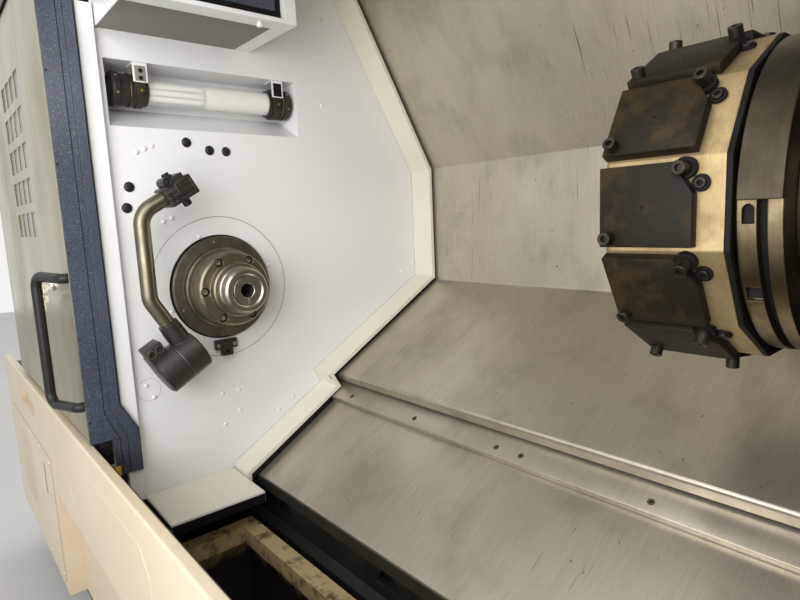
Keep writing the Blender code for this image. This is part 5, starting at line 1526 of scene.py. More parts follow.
@dataclass
class Spindle(Assembly):
    """Spindle disc, collet chuck with its bolts, nose cap and collet."""

    disc_radius: float = 0.109
    disc_face: float = 0.012
    chuck_radius: float = 0.085
    chuck_face: float = 0.070
    hub_radius: float = 0.056
    hub_end: float = 0.090
    seat_bore: float = 0.0335
    bolt_circle: float = 0.0655
    bolt_hole: float = 0.0090
    bolt_radius: float = 0.0064
    cap_front: float = 0.1230
    nose_bore: float = 0.0300
    collet_bore: float = 0.014
    steps: int = 96

    def disc(self) -> None:
        """Makes the dark disc behind the chuck."""
        r, face = self.disc_radius, self.disc_face
        profile = [
            (-0.0017, 0.031), (-0.0017, r - 0.001), (0.0030, r - 0.0004), (0.0040, r),
            (face - 0.0045, r - 0.0012),
            (face - 0.0030, r - 0.0030), (face - 0.0004, 0.0885), (face, 0.0880), (face, 0.031),
        ]
        Former().turned(profile, self.steps).piece(
            "disc_plate", DISC_STEEL, Body.SPINDLE, "spindle_disc", smooth=25
        )
        screws = Former()
        for angle in (1.72, 3.55, 5.4):
            place = (0, 0.0985 * cos(angle), 0.0985 * sin(angle))
            screws.turned(
                [(0.0085, 0), (0.0085, 0.0026), (0.0108, 0.0026), (0.0112, 0.0021), (0.0112, 0)], 16, place
            )
        screws.piece("disc_screws", BRIGHT_STEEL, Body.SPINDLE)

    def chuck(self) -> None:
        """Makes the chuck body with its bolt seats, its bolts and the holes in its hub."""
        back, r, face = self.disc_face + 0.0003, self.chuck_radius, self.chuck_face
        profile = [
            (back, self.seat_bore), (back, r - 0.0006), (back + 0.0006, r), (back + 0.0056, r),
            (back + 0.0062, r - 0.0006),
            (back + 0.0090, r - 0.0030), (face - 0.0340, 0.0802), (face - 0.0336, 0.0796),
            (face - 0.0326, 0.0796),
            (face - 0.0322, 0.0800), (face - 0.0100, 0.0775), (face - 0.0040, 0.0765),
            (face - 0.0006, 0.0731),
            (face, 0.0725), (face, self.hub_radius + 0.0006), (face + 0.0006, self.hub_radius),
            (self.hub_end - 0.0030, self.hub_radius), (self.hub_end, self.hub_radius - 0.0030),
            (self.hub_end, self.seat_bore),
        ]
        seats = Former()
        for i in range(6):
            place = (0, self.bolt_circle * cos(pi * i / 3), self.bolt_circle * sin(pi * i / 3))
            seats.tube(face - 0.022, 0.1, 0, self.bolt_hole, 32, place)
        holes = Former().radial_holes(3, 75, 0.0785, (0.050, 0.060), 0.0035)
        Former().turned(profile, self.steps).piece(
            "collet_chuck", STEEL, Body.SPINDLE, "chuck_body", cuts=[seats, holes], smooth=24
        )
        low, top = face - 0.0225, face - 0.004
        bolt_radius = self.bolt_radius
        head = Former(LOOSE).turned(
            [
                (low, 0), (low, bolt_radius), (top - 0.0008, bolt_radius), (top, bolt_radius - 0.0008),
                (top, 0)
            ],
            32,
            (0, self.bolt_circle, 0),
        )
        socket = Former(LOOSE).prism(hexagon(0.0042, self.bolt_circle), top - 0.005, top + 0.01)
        form = head.piece("chuck_bolt_form", HEX_STEEL, cuts=[socket])
        place = (0, self.bolt_circle, 0)
        # painted shade: a black sleeve round each bolt stands in for the shade deep in its seat
        shade = Former(LOOSE).tube(low, face - 0.007, bolt_radius + 0.0003, 0.0088, 32, place)
        shade = shade.piece("bolt_seat_form", BLACK_RUBBER_AND_SHADE)
        self.shop.round_axis("chuck_bolt_seats", shade, 6, SPINDLE, BLACK_RUBBER_AND_SHADE, body=Body.SPINDLE)
        self.shop.round_axis("chuck_bolts", form, 6, SPINDLE, HEX_STEEL, body=Body.SPINDLE)

    def nose(self) -> None:
        """Makes the nose cap with its spanner holes, and the slotted collet."""
        start, front, bore = self.hub_end + 0.0003, self.cap_front, self.nose_bore
        profile = [
            (start, bore), (start, 0.0476), (start + 0.0004, 0.0480), (start + 0.0066, 0.0480),
            (start + 0.0070, 0.0476),
            (start + 0.0090, 0.0455), (start + 0.0120, 0.0455), (start + 0.0140, 0.0475),
            (start + 0.0146, 0.0475),
            (front - 0.0040, 0.0458), (front - 0.0006, 0.0424), (front, 0.0418), (front, bore + 0.0040),
            (front - 0.0030, bore),
        ]
        holes = Former().radial_holes(6, 20, start + 0.0035, (0.0440, 0.0500), 0.0022)
        Former().turned(profile, self.steps).piece(
            "nose_ring", BRIGHT_STEEL, Body.SPINDLE, "nose_cap", cuts=[holes], smooth=24
        )
        face = front - 0.0015
        b = self.collet_bore
        shape = [
            (0.040, b), (0.040, 0.0240), (self.hub_end, 0.0240), (self.hub_end + 0.004, 0.0290),
            (face - 0.0008, 0.0290),
            (face, 0.0282), (face, b + 0.0014), (face - 0.0014, b),
        ]
        slots = Former()
        for i in range(3):
            angle = radians(30 + 120 * i)
            along = Vector((cos(angle), sin(angle)))
            across = Vector((-along.y, along.x)) * 0.0006
            near, far = along * 0.008, along * 0.040
            slots.prism(
                [tuple(near - across), tuple(far - across), tuple(far + across), tuple(near + across)], 0.060,
                face + 0.01
            )
        Former().turned(shape, self.steps).piece(
            "slotted_collet", BRIGHT_STEEL, Body.COLLET, "collet", cuts=[slots], smooth=24
        )

    def build(self) -> None:
        """Makes the rotating group."""
        self.disc()
        self.chuck()
        self.nose()


@dataclass
class ToolSetter(Assembly):
    """The swing-down tool setter: fixed drum, swinging drum, bent tube and touch head."""

    x: float = 0.078
    n: float = -0.045
    seam: float = -0.1755
    radius: float = 0.040
    arm_u: float = -0.153
    tube_radius: float = 0.0145
    head_u: float = -0.0215
    head_n: float = 0.226

    def base(self) -> None:
        """Makes the fixed drum with its clamp block and foot."""
        low, r = -0.222, self.radius
        place = (self.x, 0, self.n)
        form = Former(SLANT).turned(
            [
                (low, 0), (low, r - 0.004), (low + 0.001, r - 0.0025), (low + 0.003, r - 0.0015),
                (low + 0.0034, r), (self.seam - 0.0008, r), (self.seam, r - 0.0008), (self.seam, 0)
            ],
            72, place, Along.Y,
        )
        form.box((0.0003, low + 0.006, self.n - 0.026), (self.x, self.seam - 0.006, self.n + 0.026))
        form.piece("setter_drum_fixed", SETTER_BLACK, Body.MACHINE, "setter_base", smooth=35)
        block = Former(SLANT).box((0.056, low + 0.0005, self.n), (0.098, -0.1870, 0.0185))
        block.piece("setter_clamp_block", SETTER_BLACK, Body.MACHINE, bevel=0.0016)
        spots = [(0.098, -0.2130, 0.0075), (0.098, -0.1960, 0.0075)]
        self.shop.scatter(
            "setter_clamp_screws", cap_screw("clamp_screw_form", 0.0058, 0.0018), spots, (1, 0, 0),
            BLACK_SCREW, SLANT
        )
        rings = Former(SLANT)
        for x, u, n in spots:
            rings.tube(x - 0.0004, x + 0.0005, 0.0068, 0.0078, 32, (0, u, n))
        rings.piece("setter_clamp_rings", HEX_STEEL, Body.MACHINE)

    def arm(self) -> None:
        """Makes the swinging drum with its collar, the tube and the head."""
        start, end, r = self.seam + 0.0003, -0.132, self.radius
        place = (self.x, 0, self.n)
        form = Former(SLANT).turned(
            [
                (start, 0), (start, r - 0.0008), (start + 0.0008, r), (end - 0.003, r),
                (end - 0.0008, r - 0.0022), (end, r - 0.004), (end, 0)
            ],
            72, place, Along.Y,
        )
        form.turned(
            [
                (self.n, 0), (self.n, 0.0200), (0.0180, 0.0200), (0.0220, 0.0192), (0.0310, 0.0187),
                (0.032, 0.0177), (0.032, 0)
            ],
            48, (self.x, self.arm_u, 0), Along.Z,
        )
        form.piece("setter_drum_swinging", SETTER_BLACK, Body.SETTER_ARM, "setter_rotor", smooth=35)
        line = Former(SLANT).tube(start, start + 0.0007, r - 0.002, r + 0.0002, 72, place, Along.Y)
        line.piece("setter_seam", BRIGHT_STEEL, Body.SETTER_ARM)
        rise = Vector((0, sin(SLOPE), cos(SLOPE)))
        corner = Vector((self.x, self.arm_u, 0.086))
        points = [
            (self.x, self.arm_u, 0.0323),
            corner,
            corner + rise * ((self.head_n - corner.z) / rise.z),
            (self.x, self.head_u - 0.0003, self.head_n),
        ]
        self.shop.bent_tube(
            "setter_bent_tube", points, self.tube_radius, 0.042, TUBE_STEEL, SLANT, 40, body=Body.SETTER_ARM,
            node="setter_tube"
        )

    def head(self) -> None:
        """Makes the touch head: body, lid, stylus seat and side plate with its screws."""
        x, u, n = self.x, self.head_u, self.head_n
        form = Former(SLANT).box((x - 0.024, u, n - 0.020), (x + 0.024, 0.038, n + 0.018))
        form.box((x - 0.020, -0.012, n), (x + 0.020, 0.028, n + 0.027))
        for rise in (-0.0140, -0.0040, 0.0060, 0.0150):
            form.box((x - 0.0255, u - 0.0012, n + rise - 0.0013), (x + 0.0250, 0.0340, n + rise + 0.0013))
        form.box(
            (x + 0.0235, 0.0020, n - 0.0170), (x + 0.0262, 0.0350, n - 0.0145)
        ).box((x + 0.0235, 0.0020, n + 0.0120), (x + 0.0262, 0.0350, n + 0.0145))
        form.box(
            (x + 0.0235, 0.0020, n - 0.0150), (x + 0.0262, 0.0050, n + 0.0125)
        ).box((x + 0.0235, 0.0320, n - 0.0150), (x + 0.0262, 0.0350, n + 0.0125))
        form.piece("setter_touch_head", SETTER_BLACK, Body.SETTER_ARM, "setter_head", bevel=0.0018)
        nubs = Former(SLANT).turned(
            [
                (n, 0), (n, 0.0105), (n + 0.030, 0.0105), (n + 0.0315, 0.0098), (n + 0.0315, 0.0072),
                (n + 0.037, 0.0072), (n + 0.037, 0.0040), (n + 0.034, 0.0036), (n + 0.034, 0)
            ],
            32, (x, 0.006, 0), Along.Z,
        )
        knob = [
            (x - 0.010, 0), (x - 0.010, 0.0092), (x + 0.0255, 0.0092), (x + 0.0265, 0.0084),
            (x + 0.0265, 0.0062), (x + 0.0252, 0.0058), (x + 0.0252, 0.0036), (x + 0.0262, 0.0033),
            (x + 0.0262, 0)
        ]
        nubs.turned(knob, 32, (0, -0.0060, n + 0.0240))
        nubs.turned(
            [(n - 0.034, 0), (n - 0.034, 0.0060), (n - 0.032, 0.0085), (n, 0.0085), (n, 0)], 28,
            (x, 0.012, 0), Along.Z
        )
        nubs.piece("setter_head_nubs", BLACK, Body.SETTER_ARM)
        spots = [
            (x + 0.0252, u + 0.007, n - 0.009), (x + 0.0252, u + 0.017, n - 0.009),
            (x + 0.0252, u + 0.007, n + 0.001)
        ]
        self.shop.scatter(
            "setter_head_screws", cap_screw("head_screw_form", 0.0032, 0.0012), spots, (1, 0, 0), BLACK_SCREW,
            SLANT, body=Body.SETTER_ARM
        )

    def build(self) -> None:
        """Makes the whole setter."""
        self.base()
        self.arm()
        self.head()


@dataclass
class Turret(Assembly):
    """The turret disc with a flat for each of its stations, their cover plates and screws."""

    stations: int = STATIONS
    flat: float = 0.165
    thick: float = 0.1235
    plate_start: float = 0.0005
    plate_half: float = 0.0405
    plate_length: float = 0.0935
    plate_rise: float = 0.011
    corner_cut: Point2 = (0.019, 0.030)
    screw_radius: float = 0.0070
    screw_rise: float = 0.010
    front_share: float = 0.985
    rear_share: float = 0.955

    def disc(self) -> None:
        """Makes the disc from its rule, and the round cap on its face."""
        source = linked("disc", bpy.data.meshes.new("disc"))
        centre = TURRET_CENTRE + Vector((self.thick / 2, 0, 0))
        disc = self.shop.disc.grow(
            "station_disc",
            source,
            STATION_STEEL,
            Stations=self.stations,
            Flat=self.flat,
            Thick=self.thick,
            Front_share=self.front_share,
            Rear_share=self.rear_share,
            Centre=list(centre),
        )
        rounding = disc.modifiers.new("round", "BEVEL")
        rounding.width = 0.0008
        rounding.limit_method = "ANGLE"
        rounding.angle_limit = radians(20)
        settle(disc)
        soften(disc, 12)
        rides(disc, Body.TURRET, "turret_disc")
        cap = Former(Matrix.Translation(TURRET_CENTRE)).turned(
            [(-0.012, 0), (-0.012, 0.060), (-0.0105, 0.062), (-0.001, 0.0695), (0.0005, 0.070), (0.0005, 0)],
            72
        )
        cap.piece("turret_face_cap", HOUSING_STEEL, Body.TURRET)
        head = Former(LOOSE).turned(
            [(-0.018, 0), (-0.018, 0.0055), (-0.0175, 0.006), (-0.0115, 0.006), (-0.0115, 0)], 24,
            (0, 0.048, 0)
        )
        socket = Former(LOOSE).prism(hexagon(0.0033, 0.048), -0.03, -0.0145)
        form = head.piece("cap_bolt_form", BLACK_SCREW, cuts=[socket])
        self.shop.round_axis(
            "turret_cap_bolts", form, 6, TURRET_CENTRE + Vector((0.006, 0, 0)), BLACK_SCREW, first=pi / 6,
            body=Body.TURRET
        )

    @property
    def plate_end(self) -> float:
        """Where the plates end along the axis."""
        return self.plate_start + self.plate_length

    def plate(self) -> bpy.types.Object:
        """Makes one cover plate on the flat that faces the front, with its cut corner and centre mark.

        Returns:
            The form.
        """
        x0, x1, half = self.plate_start, self.plate_end, self.plate_half
        cut_x, cut_t = self.corner_cut
        outline = [(x0, -half), (x1, -half), (x1, half - cut_t), (x1 - cut_x, half), (x0, half)]
        top = self.flat + self.plate_rise
        form = Former(LOOSE).prism(outline, -top, -(self.flat - 0.0008), Along.Y)
        mark = Former(LOOSE).tube(-top - 0.01, -top + 0.0016, 0, 0.0017, 12, (0.046, 0, -0.001), Along.Y)
        return form.piece("plate_form", OXIDE, bevel=0.0009, cuts=[mark], cut_first=False)

    def corner_shade(self) -> bpy.types.Object:
        """Makes the dark seats round the screws at one plate's cut corner.

        Returns:
            The form.
        """
        # painted shade: black discs under the corner screws stand in for the shade in the plate's cut corner
        form, x1 = Former(LOOSE), self.plate_end
        for x, t, rise, r in (
            (x1 - 0.0095, self.plate_half - 0.0065, self.plate_rise * 0.6, 0.0105),
            (x1 + 0.0038, 0.0194, 0.0030, 0.0082),
        ):
            form.tube(-self.flat - rise, -self.flat + 0.0008, 0, r, 28, (x, 0, t), Along.Y)
        return form.piece("boss_form", BLACK_RUBBER_AND_SHADE)

    def screws(self) -> bpy.types.Object:
        """Makes the three screws of one station: two on the plate and one sunk beside its cut corner.

        Returns:
            The form.
        """
        x0, x1, half = self.plate_start, self.plate_end, self.plate_half
        top = self.flat + self.plate_rise + self.screw_rise
        places = (
            (x0 + 0.010, 0.009 - half, self.flat + 0.003, top, self.screw_radius),
            (x1 - 0.0095, half - 0.0065, self.flat - 0.0005, top, self.screw_radius),
            (x1 + 0.0038, 0.0194, self.flat - 0.0005, self.flat + 0.0055, 0.0056),
        )
        heads, sockets = Former(LOOSE), Former(LOOSE)
        for x, t, low, high, r in places:
            edge = 0.0007
            profile = [(-high, 0), (-high, r - edge), (-high + edge, r), (-low, r), (-low, 0)]
            heads.turned(profile, 24, (x, 0, t), Along.Y)
            sockets.prism(hexagon(r * 0.52, x, t), -high - 0.01, -high + 0.005, Along.Y)
        return heads.piece("station_screw_form", BLACK_SCREW, cuts=[sockets])

    def build(self) -> None:
        """Makes the disc and sets plates and screws on every flat."""
        self.disc()
        self.shop.round_axis(
            "station_plates", self.plate(), self.stations, TURRET_CENTRE, OXIDE, body=Body.TURRET
        )
        self.shop.round_axis(
            "station_bosses", self.corner_shade(), self.stations, TURRET_CENTRE, BLACK_RUBBER_AND_SHADE, body=Body.TURRET
        )
        ring = Former(Matrix.Translation(TURRET_CENTRE) @ Matrix.Rotation(STATION_HALF, 4, "X"))
        x, corner = self.thick, self.flat / cos(STATION_HALF)
        ring.turned(
            [
                (x + 0.0002, 0.150), (x + 0.0002, corner * 0.9515), (x - 0.0050, corner * 1.0003),
                (x + 0.0003, corner * 0.9990)
            ],
            self.stations
        )
        ring.piece("disc_rear_ring", BLACK_RUBBER_AND_SHADE, Body.TURRET, smooth=5)
        self.shop.round_axis(
            "station_screws", self.screws(), self.stations, TURRET_CENTRE, BLACK_SCREW, body=Body.TURRET
        )


@dataclass
class TurretHousing(Assembly):
    """The housing behind the turret disc: two bearing rings, a half band over them, body and foot."""

    start: float = 0.985
    radius: float = 0.160
    ring_width: float = 0.0185
    groove: float = 0.0080
    second_width: float = 0.0125
    band_rise: float = 0.0065

    def build(self) -> None:
        """Makes the rings and body, the foot and the band."""
        r, s = self.radius, self.start
        ring_end = s + self.ring_width
        second = ring_end + self.groove
        second_end = second + self.second_width
        centre = (0, TURRET_U, 0)
        core = 0.090
        profile = [
            (s, core), (s, r - 0.0025), (s + 0.0020, r - 0.0003), (s + 0.0024, r), (ring_end - 0.0005, r),
            (ring_end, r - 0.0005),
            (ring_end, r - 0.010), (second, r - 0.010), (second, r - 0.0005), (second + 0.0005, r),
            (second_end - 0.0005, r),
            (second_end, r - 0.0005), (second_end, core),
        ]
        rings = Former(SLANT).turned(profile, 112, centre)
        y, z = from_slant(TURRET_U, 0)
        side, middle, half = y - r, s + 0.0115, 0.0050
        window = [(middle - half, z - 0.0195), (middle + half, z - 0.0195)]
        window += [
            (middle + half * cos(pi * i / 10), z - 0.0070 + half * sin(pi * i / 10)) for i in range(11)
        ]
        pockets = Former().prism(window, side - 0.02, side + 0.014, Along.Y)
        w = 0.0065
        square = [
            (middle - w, z - 0.093), (middle + w, z - 0.093), (middle + w, z - 0.079), (middle - w, z - 0.079)
        ]
        pockets.prism(square, side - 0.02, side + 0.040, Along.Y)
        rings.piece(
            "turret_bearing_rings", HOUSING_STEEL, Body.CROSS_SLIDE, "turret_housing", cuts=[pockets],
            smooth=24
        )
        plugs = Former().prism(window, side + 0.0045, side + 0.0135, Along.Y)
        plugs.prism([(a, b + 0.003) for a, b in square], side + 0.030, side + 0.0395, Along.Y)
        plugs.piece("ring_pocket_shadow", BLACK_RUBBER_AND_SHADE, Body.CROSS_SLIDE)
        profile = [
            (second_end + 0.0002, 0), (second_end + 0.0002, 0.1262), (second_end + 0.012, 0.1260),
            (1.060, 0.126),
            (1.0603, 0.1235), (1.0635, 0.1235), (1.0638, 0.1258), (1.270, 0.124), (1.290, 0.105),
            (1.290, 0.070),
            (1.328, 0.068), (1.330, 0.066), (1.330, 0),
        ]
        body = Former(SLANT).turned(profile, 96, centre)
        foot = [
            (0.110, -0.1277), (0.410, -0.1277), (0.400, -0.100), (0.375, 0.020), (0.150, 0.020),
            (0.120, -0.100)
        ]
        body.prism(foot, 1.055, 1.265)
        body.piece("turret_body", HOUSING_DARK, Body.CROSS_SLIDE, smooth=24)
        outer, inner, turn = r + self.band_rise, r - 0.002, SLOPE + 0.01
        arc = []
        for i in range(49):
            angle = pi - pi * i / 48 - turn
            arc.append((TURRET_U + outer * cos(angle), outer * sin(angle)))
        for i in range(49):
            angle = pi * i / 48 - turn
            arc.append((TURRET_U + inner * cos(angle), inner * sin(angle)))
        band = Former(SLANT).prism(arc, s + 0.0035, second_end + 0.0010)
        band.piece("bearing_band", BAND_STEEL, Body.CROSS_SLIDE, bevel=0.0008, smooth=20)
        seal = Former(SLANT).tube(ring_end + 0.0006, second - 0.0006, r - 0.012, r - 0.0085, 96, centre)
        seal.piece("bearing_seal", BLACK_RUBBER_AND_SHADE, Body.CROSS_SLIDE)


@dataclass
class BedCovers(Assembly):
    """The bent stainless covers, the guide strip between them and its screws."""

    sheet: float = 0.003
    lip_radius: float = 0.007
    ends: Point2 = (-0.040, 1.873)
    fixed_ends: Point2 = (-0.008, 1.356)
    cover_n: float = -0.322
    lip_u: float = 0.093
    lower_u: float = -0.190
    lower_n: float = -0.366

    screw_x: tuple[float, ...] = (0.130, 0.346, 0.560, 0.613, 0.836, 1.060, 1.114, 1.300)
    screw_u: float = 0.064
    strip_n: float = -0.353

    def travelling(self) -> None:
        """Makes the cover that travels with the saddle."""
        lean = math.tan(SLOPE)
        line = [
            (0.576 - (0.790 - 0.256) * lean, 0.790),
            (0.576, 0.256),
            (0.576, (self.cover_n + 0.576 * sin(SLOPE)) / cos(SLOPE)),
            from_slant(self.lip_u, self.cover_n),
            from_slant(self.lip_u, self.cover_n - 0.024),
        ]
        cover = Former().prism(sheet_outline(line, self.sheet, self.lip_radius), *self.ends)
        window = Former(SLANT).box((1.0297, 0.1297, -0.339), (1.3103, 0.4703, -0.302))
        cover.piece("bent_saddle_cover", STAINLESS, Body.CARRIAGE, "saddle_covers", cuts=[window], smooth=20)

    def fixed(self) -> None:
        """Makes the lower cover, its edging and the guide strip."""
        low = from_slant(self.lower_u, self.lower_n)
        line = [from_slant(0.074, self.lower_n), low, (low[0], low[1] - 0.028)]
        cover = Former().prism(sheet_outline(line, self.sheet, 0.004), *self.fixed_ends)
        cover.piece("bent_lower_cover", STAINLESS, Body.MACHINE, "lower_cover", smooth=20)
        x0, x1 = self.fixed_ends
        # painted shade: a dark strip over the cover's front fold stands in for the shade on it
        edging = Former().box((x0, low[0] - 0.0008, low[1] - 0.0275), (x1, low[0] - 0.0001, low[1] - 0.0042))
        edging.piece("lower_cover_edging", CASTING_AND_FOLD_SHADE, Body.MACHINE)
        outline = [
            (0.046, -0.353), (0.046, -0.3657), (0.075, -0.3657), (0.075, -0.4097), (0.150, -0.4097),
            (0.150, -0.353)
        ]
        strip = Former(SLANT).prism(outline, x0, x1)
        strip.piece("bevelled_guide_strip", STAINLESS, Body.MACHINE, "guide_strip", bevel=0.0020)

    def build(self) -> None:
        """Makes the covers and sets the screws in a row."""
        self.travelling()
        self.fixed()
        spots = [(x, self.screw_u, self.strip_n) for x in self.screw_x]
        disc = Former(LOOSE).tube(-0.0004, 0.0003, 0, 0.0052, 20)
        self.shop.scatter(
            "strip_screws", disc.piece("strip_screw_form", BLACK_SCREW), spots, (0, 0, 1), BLACK_SCREW, SLANT
        )
        ring = Former(LOOSE).turned(
            [(0.0001, 0.0026), (0.0001, 0.0042), (0.0006, 0.0040), (0.0006, 0.0026)], 20
        )
        self.shop.scatter(
            "strip_screw_rings", ring.piece("strip_ring_form", STEEL), spots, (0, 0, 1), STEEL, SLANT
        )


@dataclass
class Door(Assembly):
    """Handle, keys, edge screws and guide block of the front door leaf."""

    front: float = -0.292
    end_face: float = 0.0170
    handle_x: float = -0.085
    handle_top: float = 0.048
    handle_low: float = -0.195
    handle_reach: float = -0.3300
    bar: float = 0.0094
    lock: Point2 = (-0.148, 0.026)
    screw_z: tuple[float, ...] = (0.566, 0.409, 0.250, 0.093, -0.064, -0.225)

    def handle(self) -> None:
        """Bends the handle and seats it on two flanges."""
        seat = self.front - 0.0003
        points = [
            (0.004, seat, self.handle_top),
            (0.004, seat - self.bar, self.handle_top),
            (self.handle_x, self.handle_reach, self.handle_top + 0.004),
            (self.handle_x, self.handle_reach, self.handle_low - 0.004),
            (0.004, seat - self.bar, self.handle_low),
            (0.004, seat, self.handle_low),
        ]
        self.shop.bent_tube(
            "door_pull", points, self.bar, 0.022, BLACK, sides=28, body=Body.DOOR, node="door_handle"
        )

    def keys(self) -> None:
        """Makes the lock plug, the key in it, the ring and the spare."""
        x, z = self.lock
        seat = self.front - 0.0003
        form = Former().turned(
            [
                (seat, 0), (seat, 0.011), (seat - 0.0015, 0.0112), (seat - 0.0045, 0.0100),
                (seat - 0.005, 0.0095), (seat - 0.005, 0)
            ],
            40, (x, 0, z), Along.Y
        )
        bow = (x, seat - 0.018, z - 0.004)
        form.turned(
            [
                (-0.0010, 0.0032), (-0.0010, 0.0102), (-0.0006, 0.0106), (0.0006, 0.0106), (0.0010, 0.0102),
                (0.0010, 0.0032)
            ],
            32, bow
        )
        form.box((x - 0.0009, seat - 0.0115, z - 0.0055), (x + 0.0009, seat - 0.004, z - 0.0005))
        form.ring(0.0085, 0.0007, (x, seat - 0.0185, z - 0.0125), Along.Y)
        form.tube(-0.0009, 0.0009, 0.0028, 0.0082, 28, (x + 0.0016, seat - 0.0185, z - 0.0260))
        teeth = [
            (-0.0022, -0.0340), (0.0022, -0.0340), (0.0022, -0.0500), (0.0, -0.0500), (-0.0010, -0.0470),
            (-0.0022, -0.0455), (-0.0012, -0.0430), (-0.0022, -0.0410)
        ]
        form.prism([(seat - 0.0185 + y, z + dz) for y, dz in teeth], x + 0.0007, x + 0.0025)
        form.piece("lock_and_keys", NICKEL, Body.KEY, "lock_key", smooth=35)

    def build(self) -> None:
        """Makes the door's pieces."""
        self.handle()
        self.keys()
        spots = [(self.end_face, -0.2872, z) for z in self.screw_z]
        disc = Former(LOOSE).tube(-0.0003, 0.0003, 0, 0.0022, 14)
        self.shop.scatter(
            "door_edge_screws", disc.piece("edge_screw_form", BLACK_SCREW), spots, (1, 0, 0), BLACK_SCREW,
            body=Body.DOOR
        )
        # painted shade: thin black strips on the end plate stand in for the shade in its grooves
        grooves = Former()
        for face, line in (
            (self.end_face, ((-0.2511, 0.599), (-0.2511, -0.208), (-0.2266, -0.269), (-0.2266, -0.341))),
            (self.end_face, ((-0.2620, 0.599), (-0.2620, -0.214), (-0.2400, -0.269), (-0.2400, -0.341))),
            (
                self.end_face + 0.0025,
                ((-0.2346, 0.599), (-0.2346, -0.200), (-0.2056, -0.257), (-0.2056, -0.341))
            ),
        ):
            edge = [(y + 0.0011, z) for y, z in reversed(line)]
            grooves.prism([*line, *edge], face + 0.0001, face + 0.0004)
        grooves.piece("end_plate_grooves", BLACK_RUBBER_AND_SHADE, Body.DOOR)
        block = Former().box((-0.010, -0.2760, -0.3170), (0.0130, -0.2535, -0.2690))
        block.turned(
            [
                (0.0128, 0), (0.0128, 0.0085), (0.0165, 0.0085), (0.0165, 0.0030), (0.0150, 0.0030),
                (0.0150, 0)
            ],
            28, (0, -0.2640, -0.2900)
        )
        block.piece("door_guide_block", BLACK_RUBBER_AND_SHADE, Body.DOOR, bevel=0.0012)
        tip = Former().box((0.0172, -0.2560, -0.3415), (0.0200, -0.2445, -0.3225))
        tip.piece("door_wiper_tip", YELLOW_TIP, Body.DOOR, bevel=0.0008)


@dataclass
class RoofBox(Assembly):
    """Seal and latch of the box under the roof."""

    y: Point2 = (-0.1735, 0.081)
    z: Point2 = (0.506, 0.8317)
    x: Point2 = (0.1783, 0.1865)
    width: float = 0.0125

    def build(self) -> None:
        """Makes the black seal round the panel and the small knob under the box."""
        (y0, y1), (z0, z1), (x0, x1), w = self.y, self.z, self.x, self.width
        form = Former()
        form.box((x0, y0, z0), (x1, y1, z0 + w)).box((x0, y0, z1 - w), (x1, y1, z1))
        form.box((x0, y0, z0 + w), (x1, y0 + w, z1 - w)).box((x0, y1 - w, z0 + w), (x1, y1, z1 - w))
        form.piece("roof_box_seal", BLACK_RUBBER_AND_SHADE, Body.MACHINE, bevel=0.001)
        # painted shade: a dark taupe sheet on the box's underside stands in for the shade there
        under = Former().box((0.0030, -0.1970, 0.4973), (0.1600, 0.0700, 0.4979))
        under.piece("roof_box_underside", UNDERSIDE_SHADE, Body.MACHINE)
        knob = Former().turned(
            [
                (0.4985, 0), (0.4985, 0.0030), (0.4950, 0.0030), (0.4940, 0.0058), (0.4895, 0.0058),
                (0.4880, 0.0045), (0.4880, 0)
            ],
            24, (0.186, 0.036, 0), Along.Z
        )
        knob.piece("roof_box_knob", WHITE, Body.MACHINE)


@dataclass
class FrontCover(Assembly):
    """Pressed beads of the lower front cover, slot backs and screws of its hatch."""

    front: float = -0.304
    beads: tuple[tuple[Point2, ...], ...] = (
        ((0.030, -0.3255), (0.340, -0.3255), (0.376, -0.3620), (0.376, -0.4700)),
        ((-0.560, -0.4100), (-0.190, -0.4100), (-0.162, -0.4380), (-0.162, -0.4850)),
        ((0.860, -0.3255), (1.560, -0.3255), (1.596, -0.3620), (1.596, -0.7000)),
    )
    hatch_x: Point2 = (-1.075, -0.420)
    hatch_z: Point2 = (-0.755, -0.425)
    slot: Point3 = (0.0072, -0.6846, -0.4754)
    hole: tuple[Point2, Point2] = ((-0.5396, -0.5546), (-0.5204, -0.4654))

    def build(self) -> None:
        """Makes the beads, the dark backs of the hatch's slots and its screws."""
        for index, line in enumerate(self.beads):
            points = [(x, self.front + 0.0004, z) for x, z in line]
            self.shop.bent_tube(f"pressed_bead_{index + 1}", points, 0.0012, 0.010, BEIGE, sides=10)
        (x0, x1), (z0, z1) = self.hatch_x, self.hatch_z
        spots = []
        for i in range(5):
            x = x0 + 0.015 + (x1 - x0 - 0.030) * i / 4
            spots += [(x, self.front - 0.0023, z0 + 0.015), (x, self.front - 0.0023, z1 - 0.015)]
        # painted shade: dark sheets behind the slots and the hole stand in for the shade inside them
        slot_shading = Former()
        width, low, high = self.slot
        lefts = [x0 + 0.1104 + 0.030 * i for i in range(8)]
        for a, c, b, d in [(x, low, x + width, high) for x in lefts] + [(*self.hole[0], *self.hole[1])]:
            slot_shading.box((a, self.front - 0.0008, c), (b, self.front - 0.0001, d))
        slot_shading.piece("hatch_slot_liners", BLACK_RUBBER_AND_SHADE, Body.MACHINE)
        self.shop.scatter("hatch_screws", dome("hatch_screw_form", 0.0050, 0.0020), spots, (0, -1, 0), NICKEL)


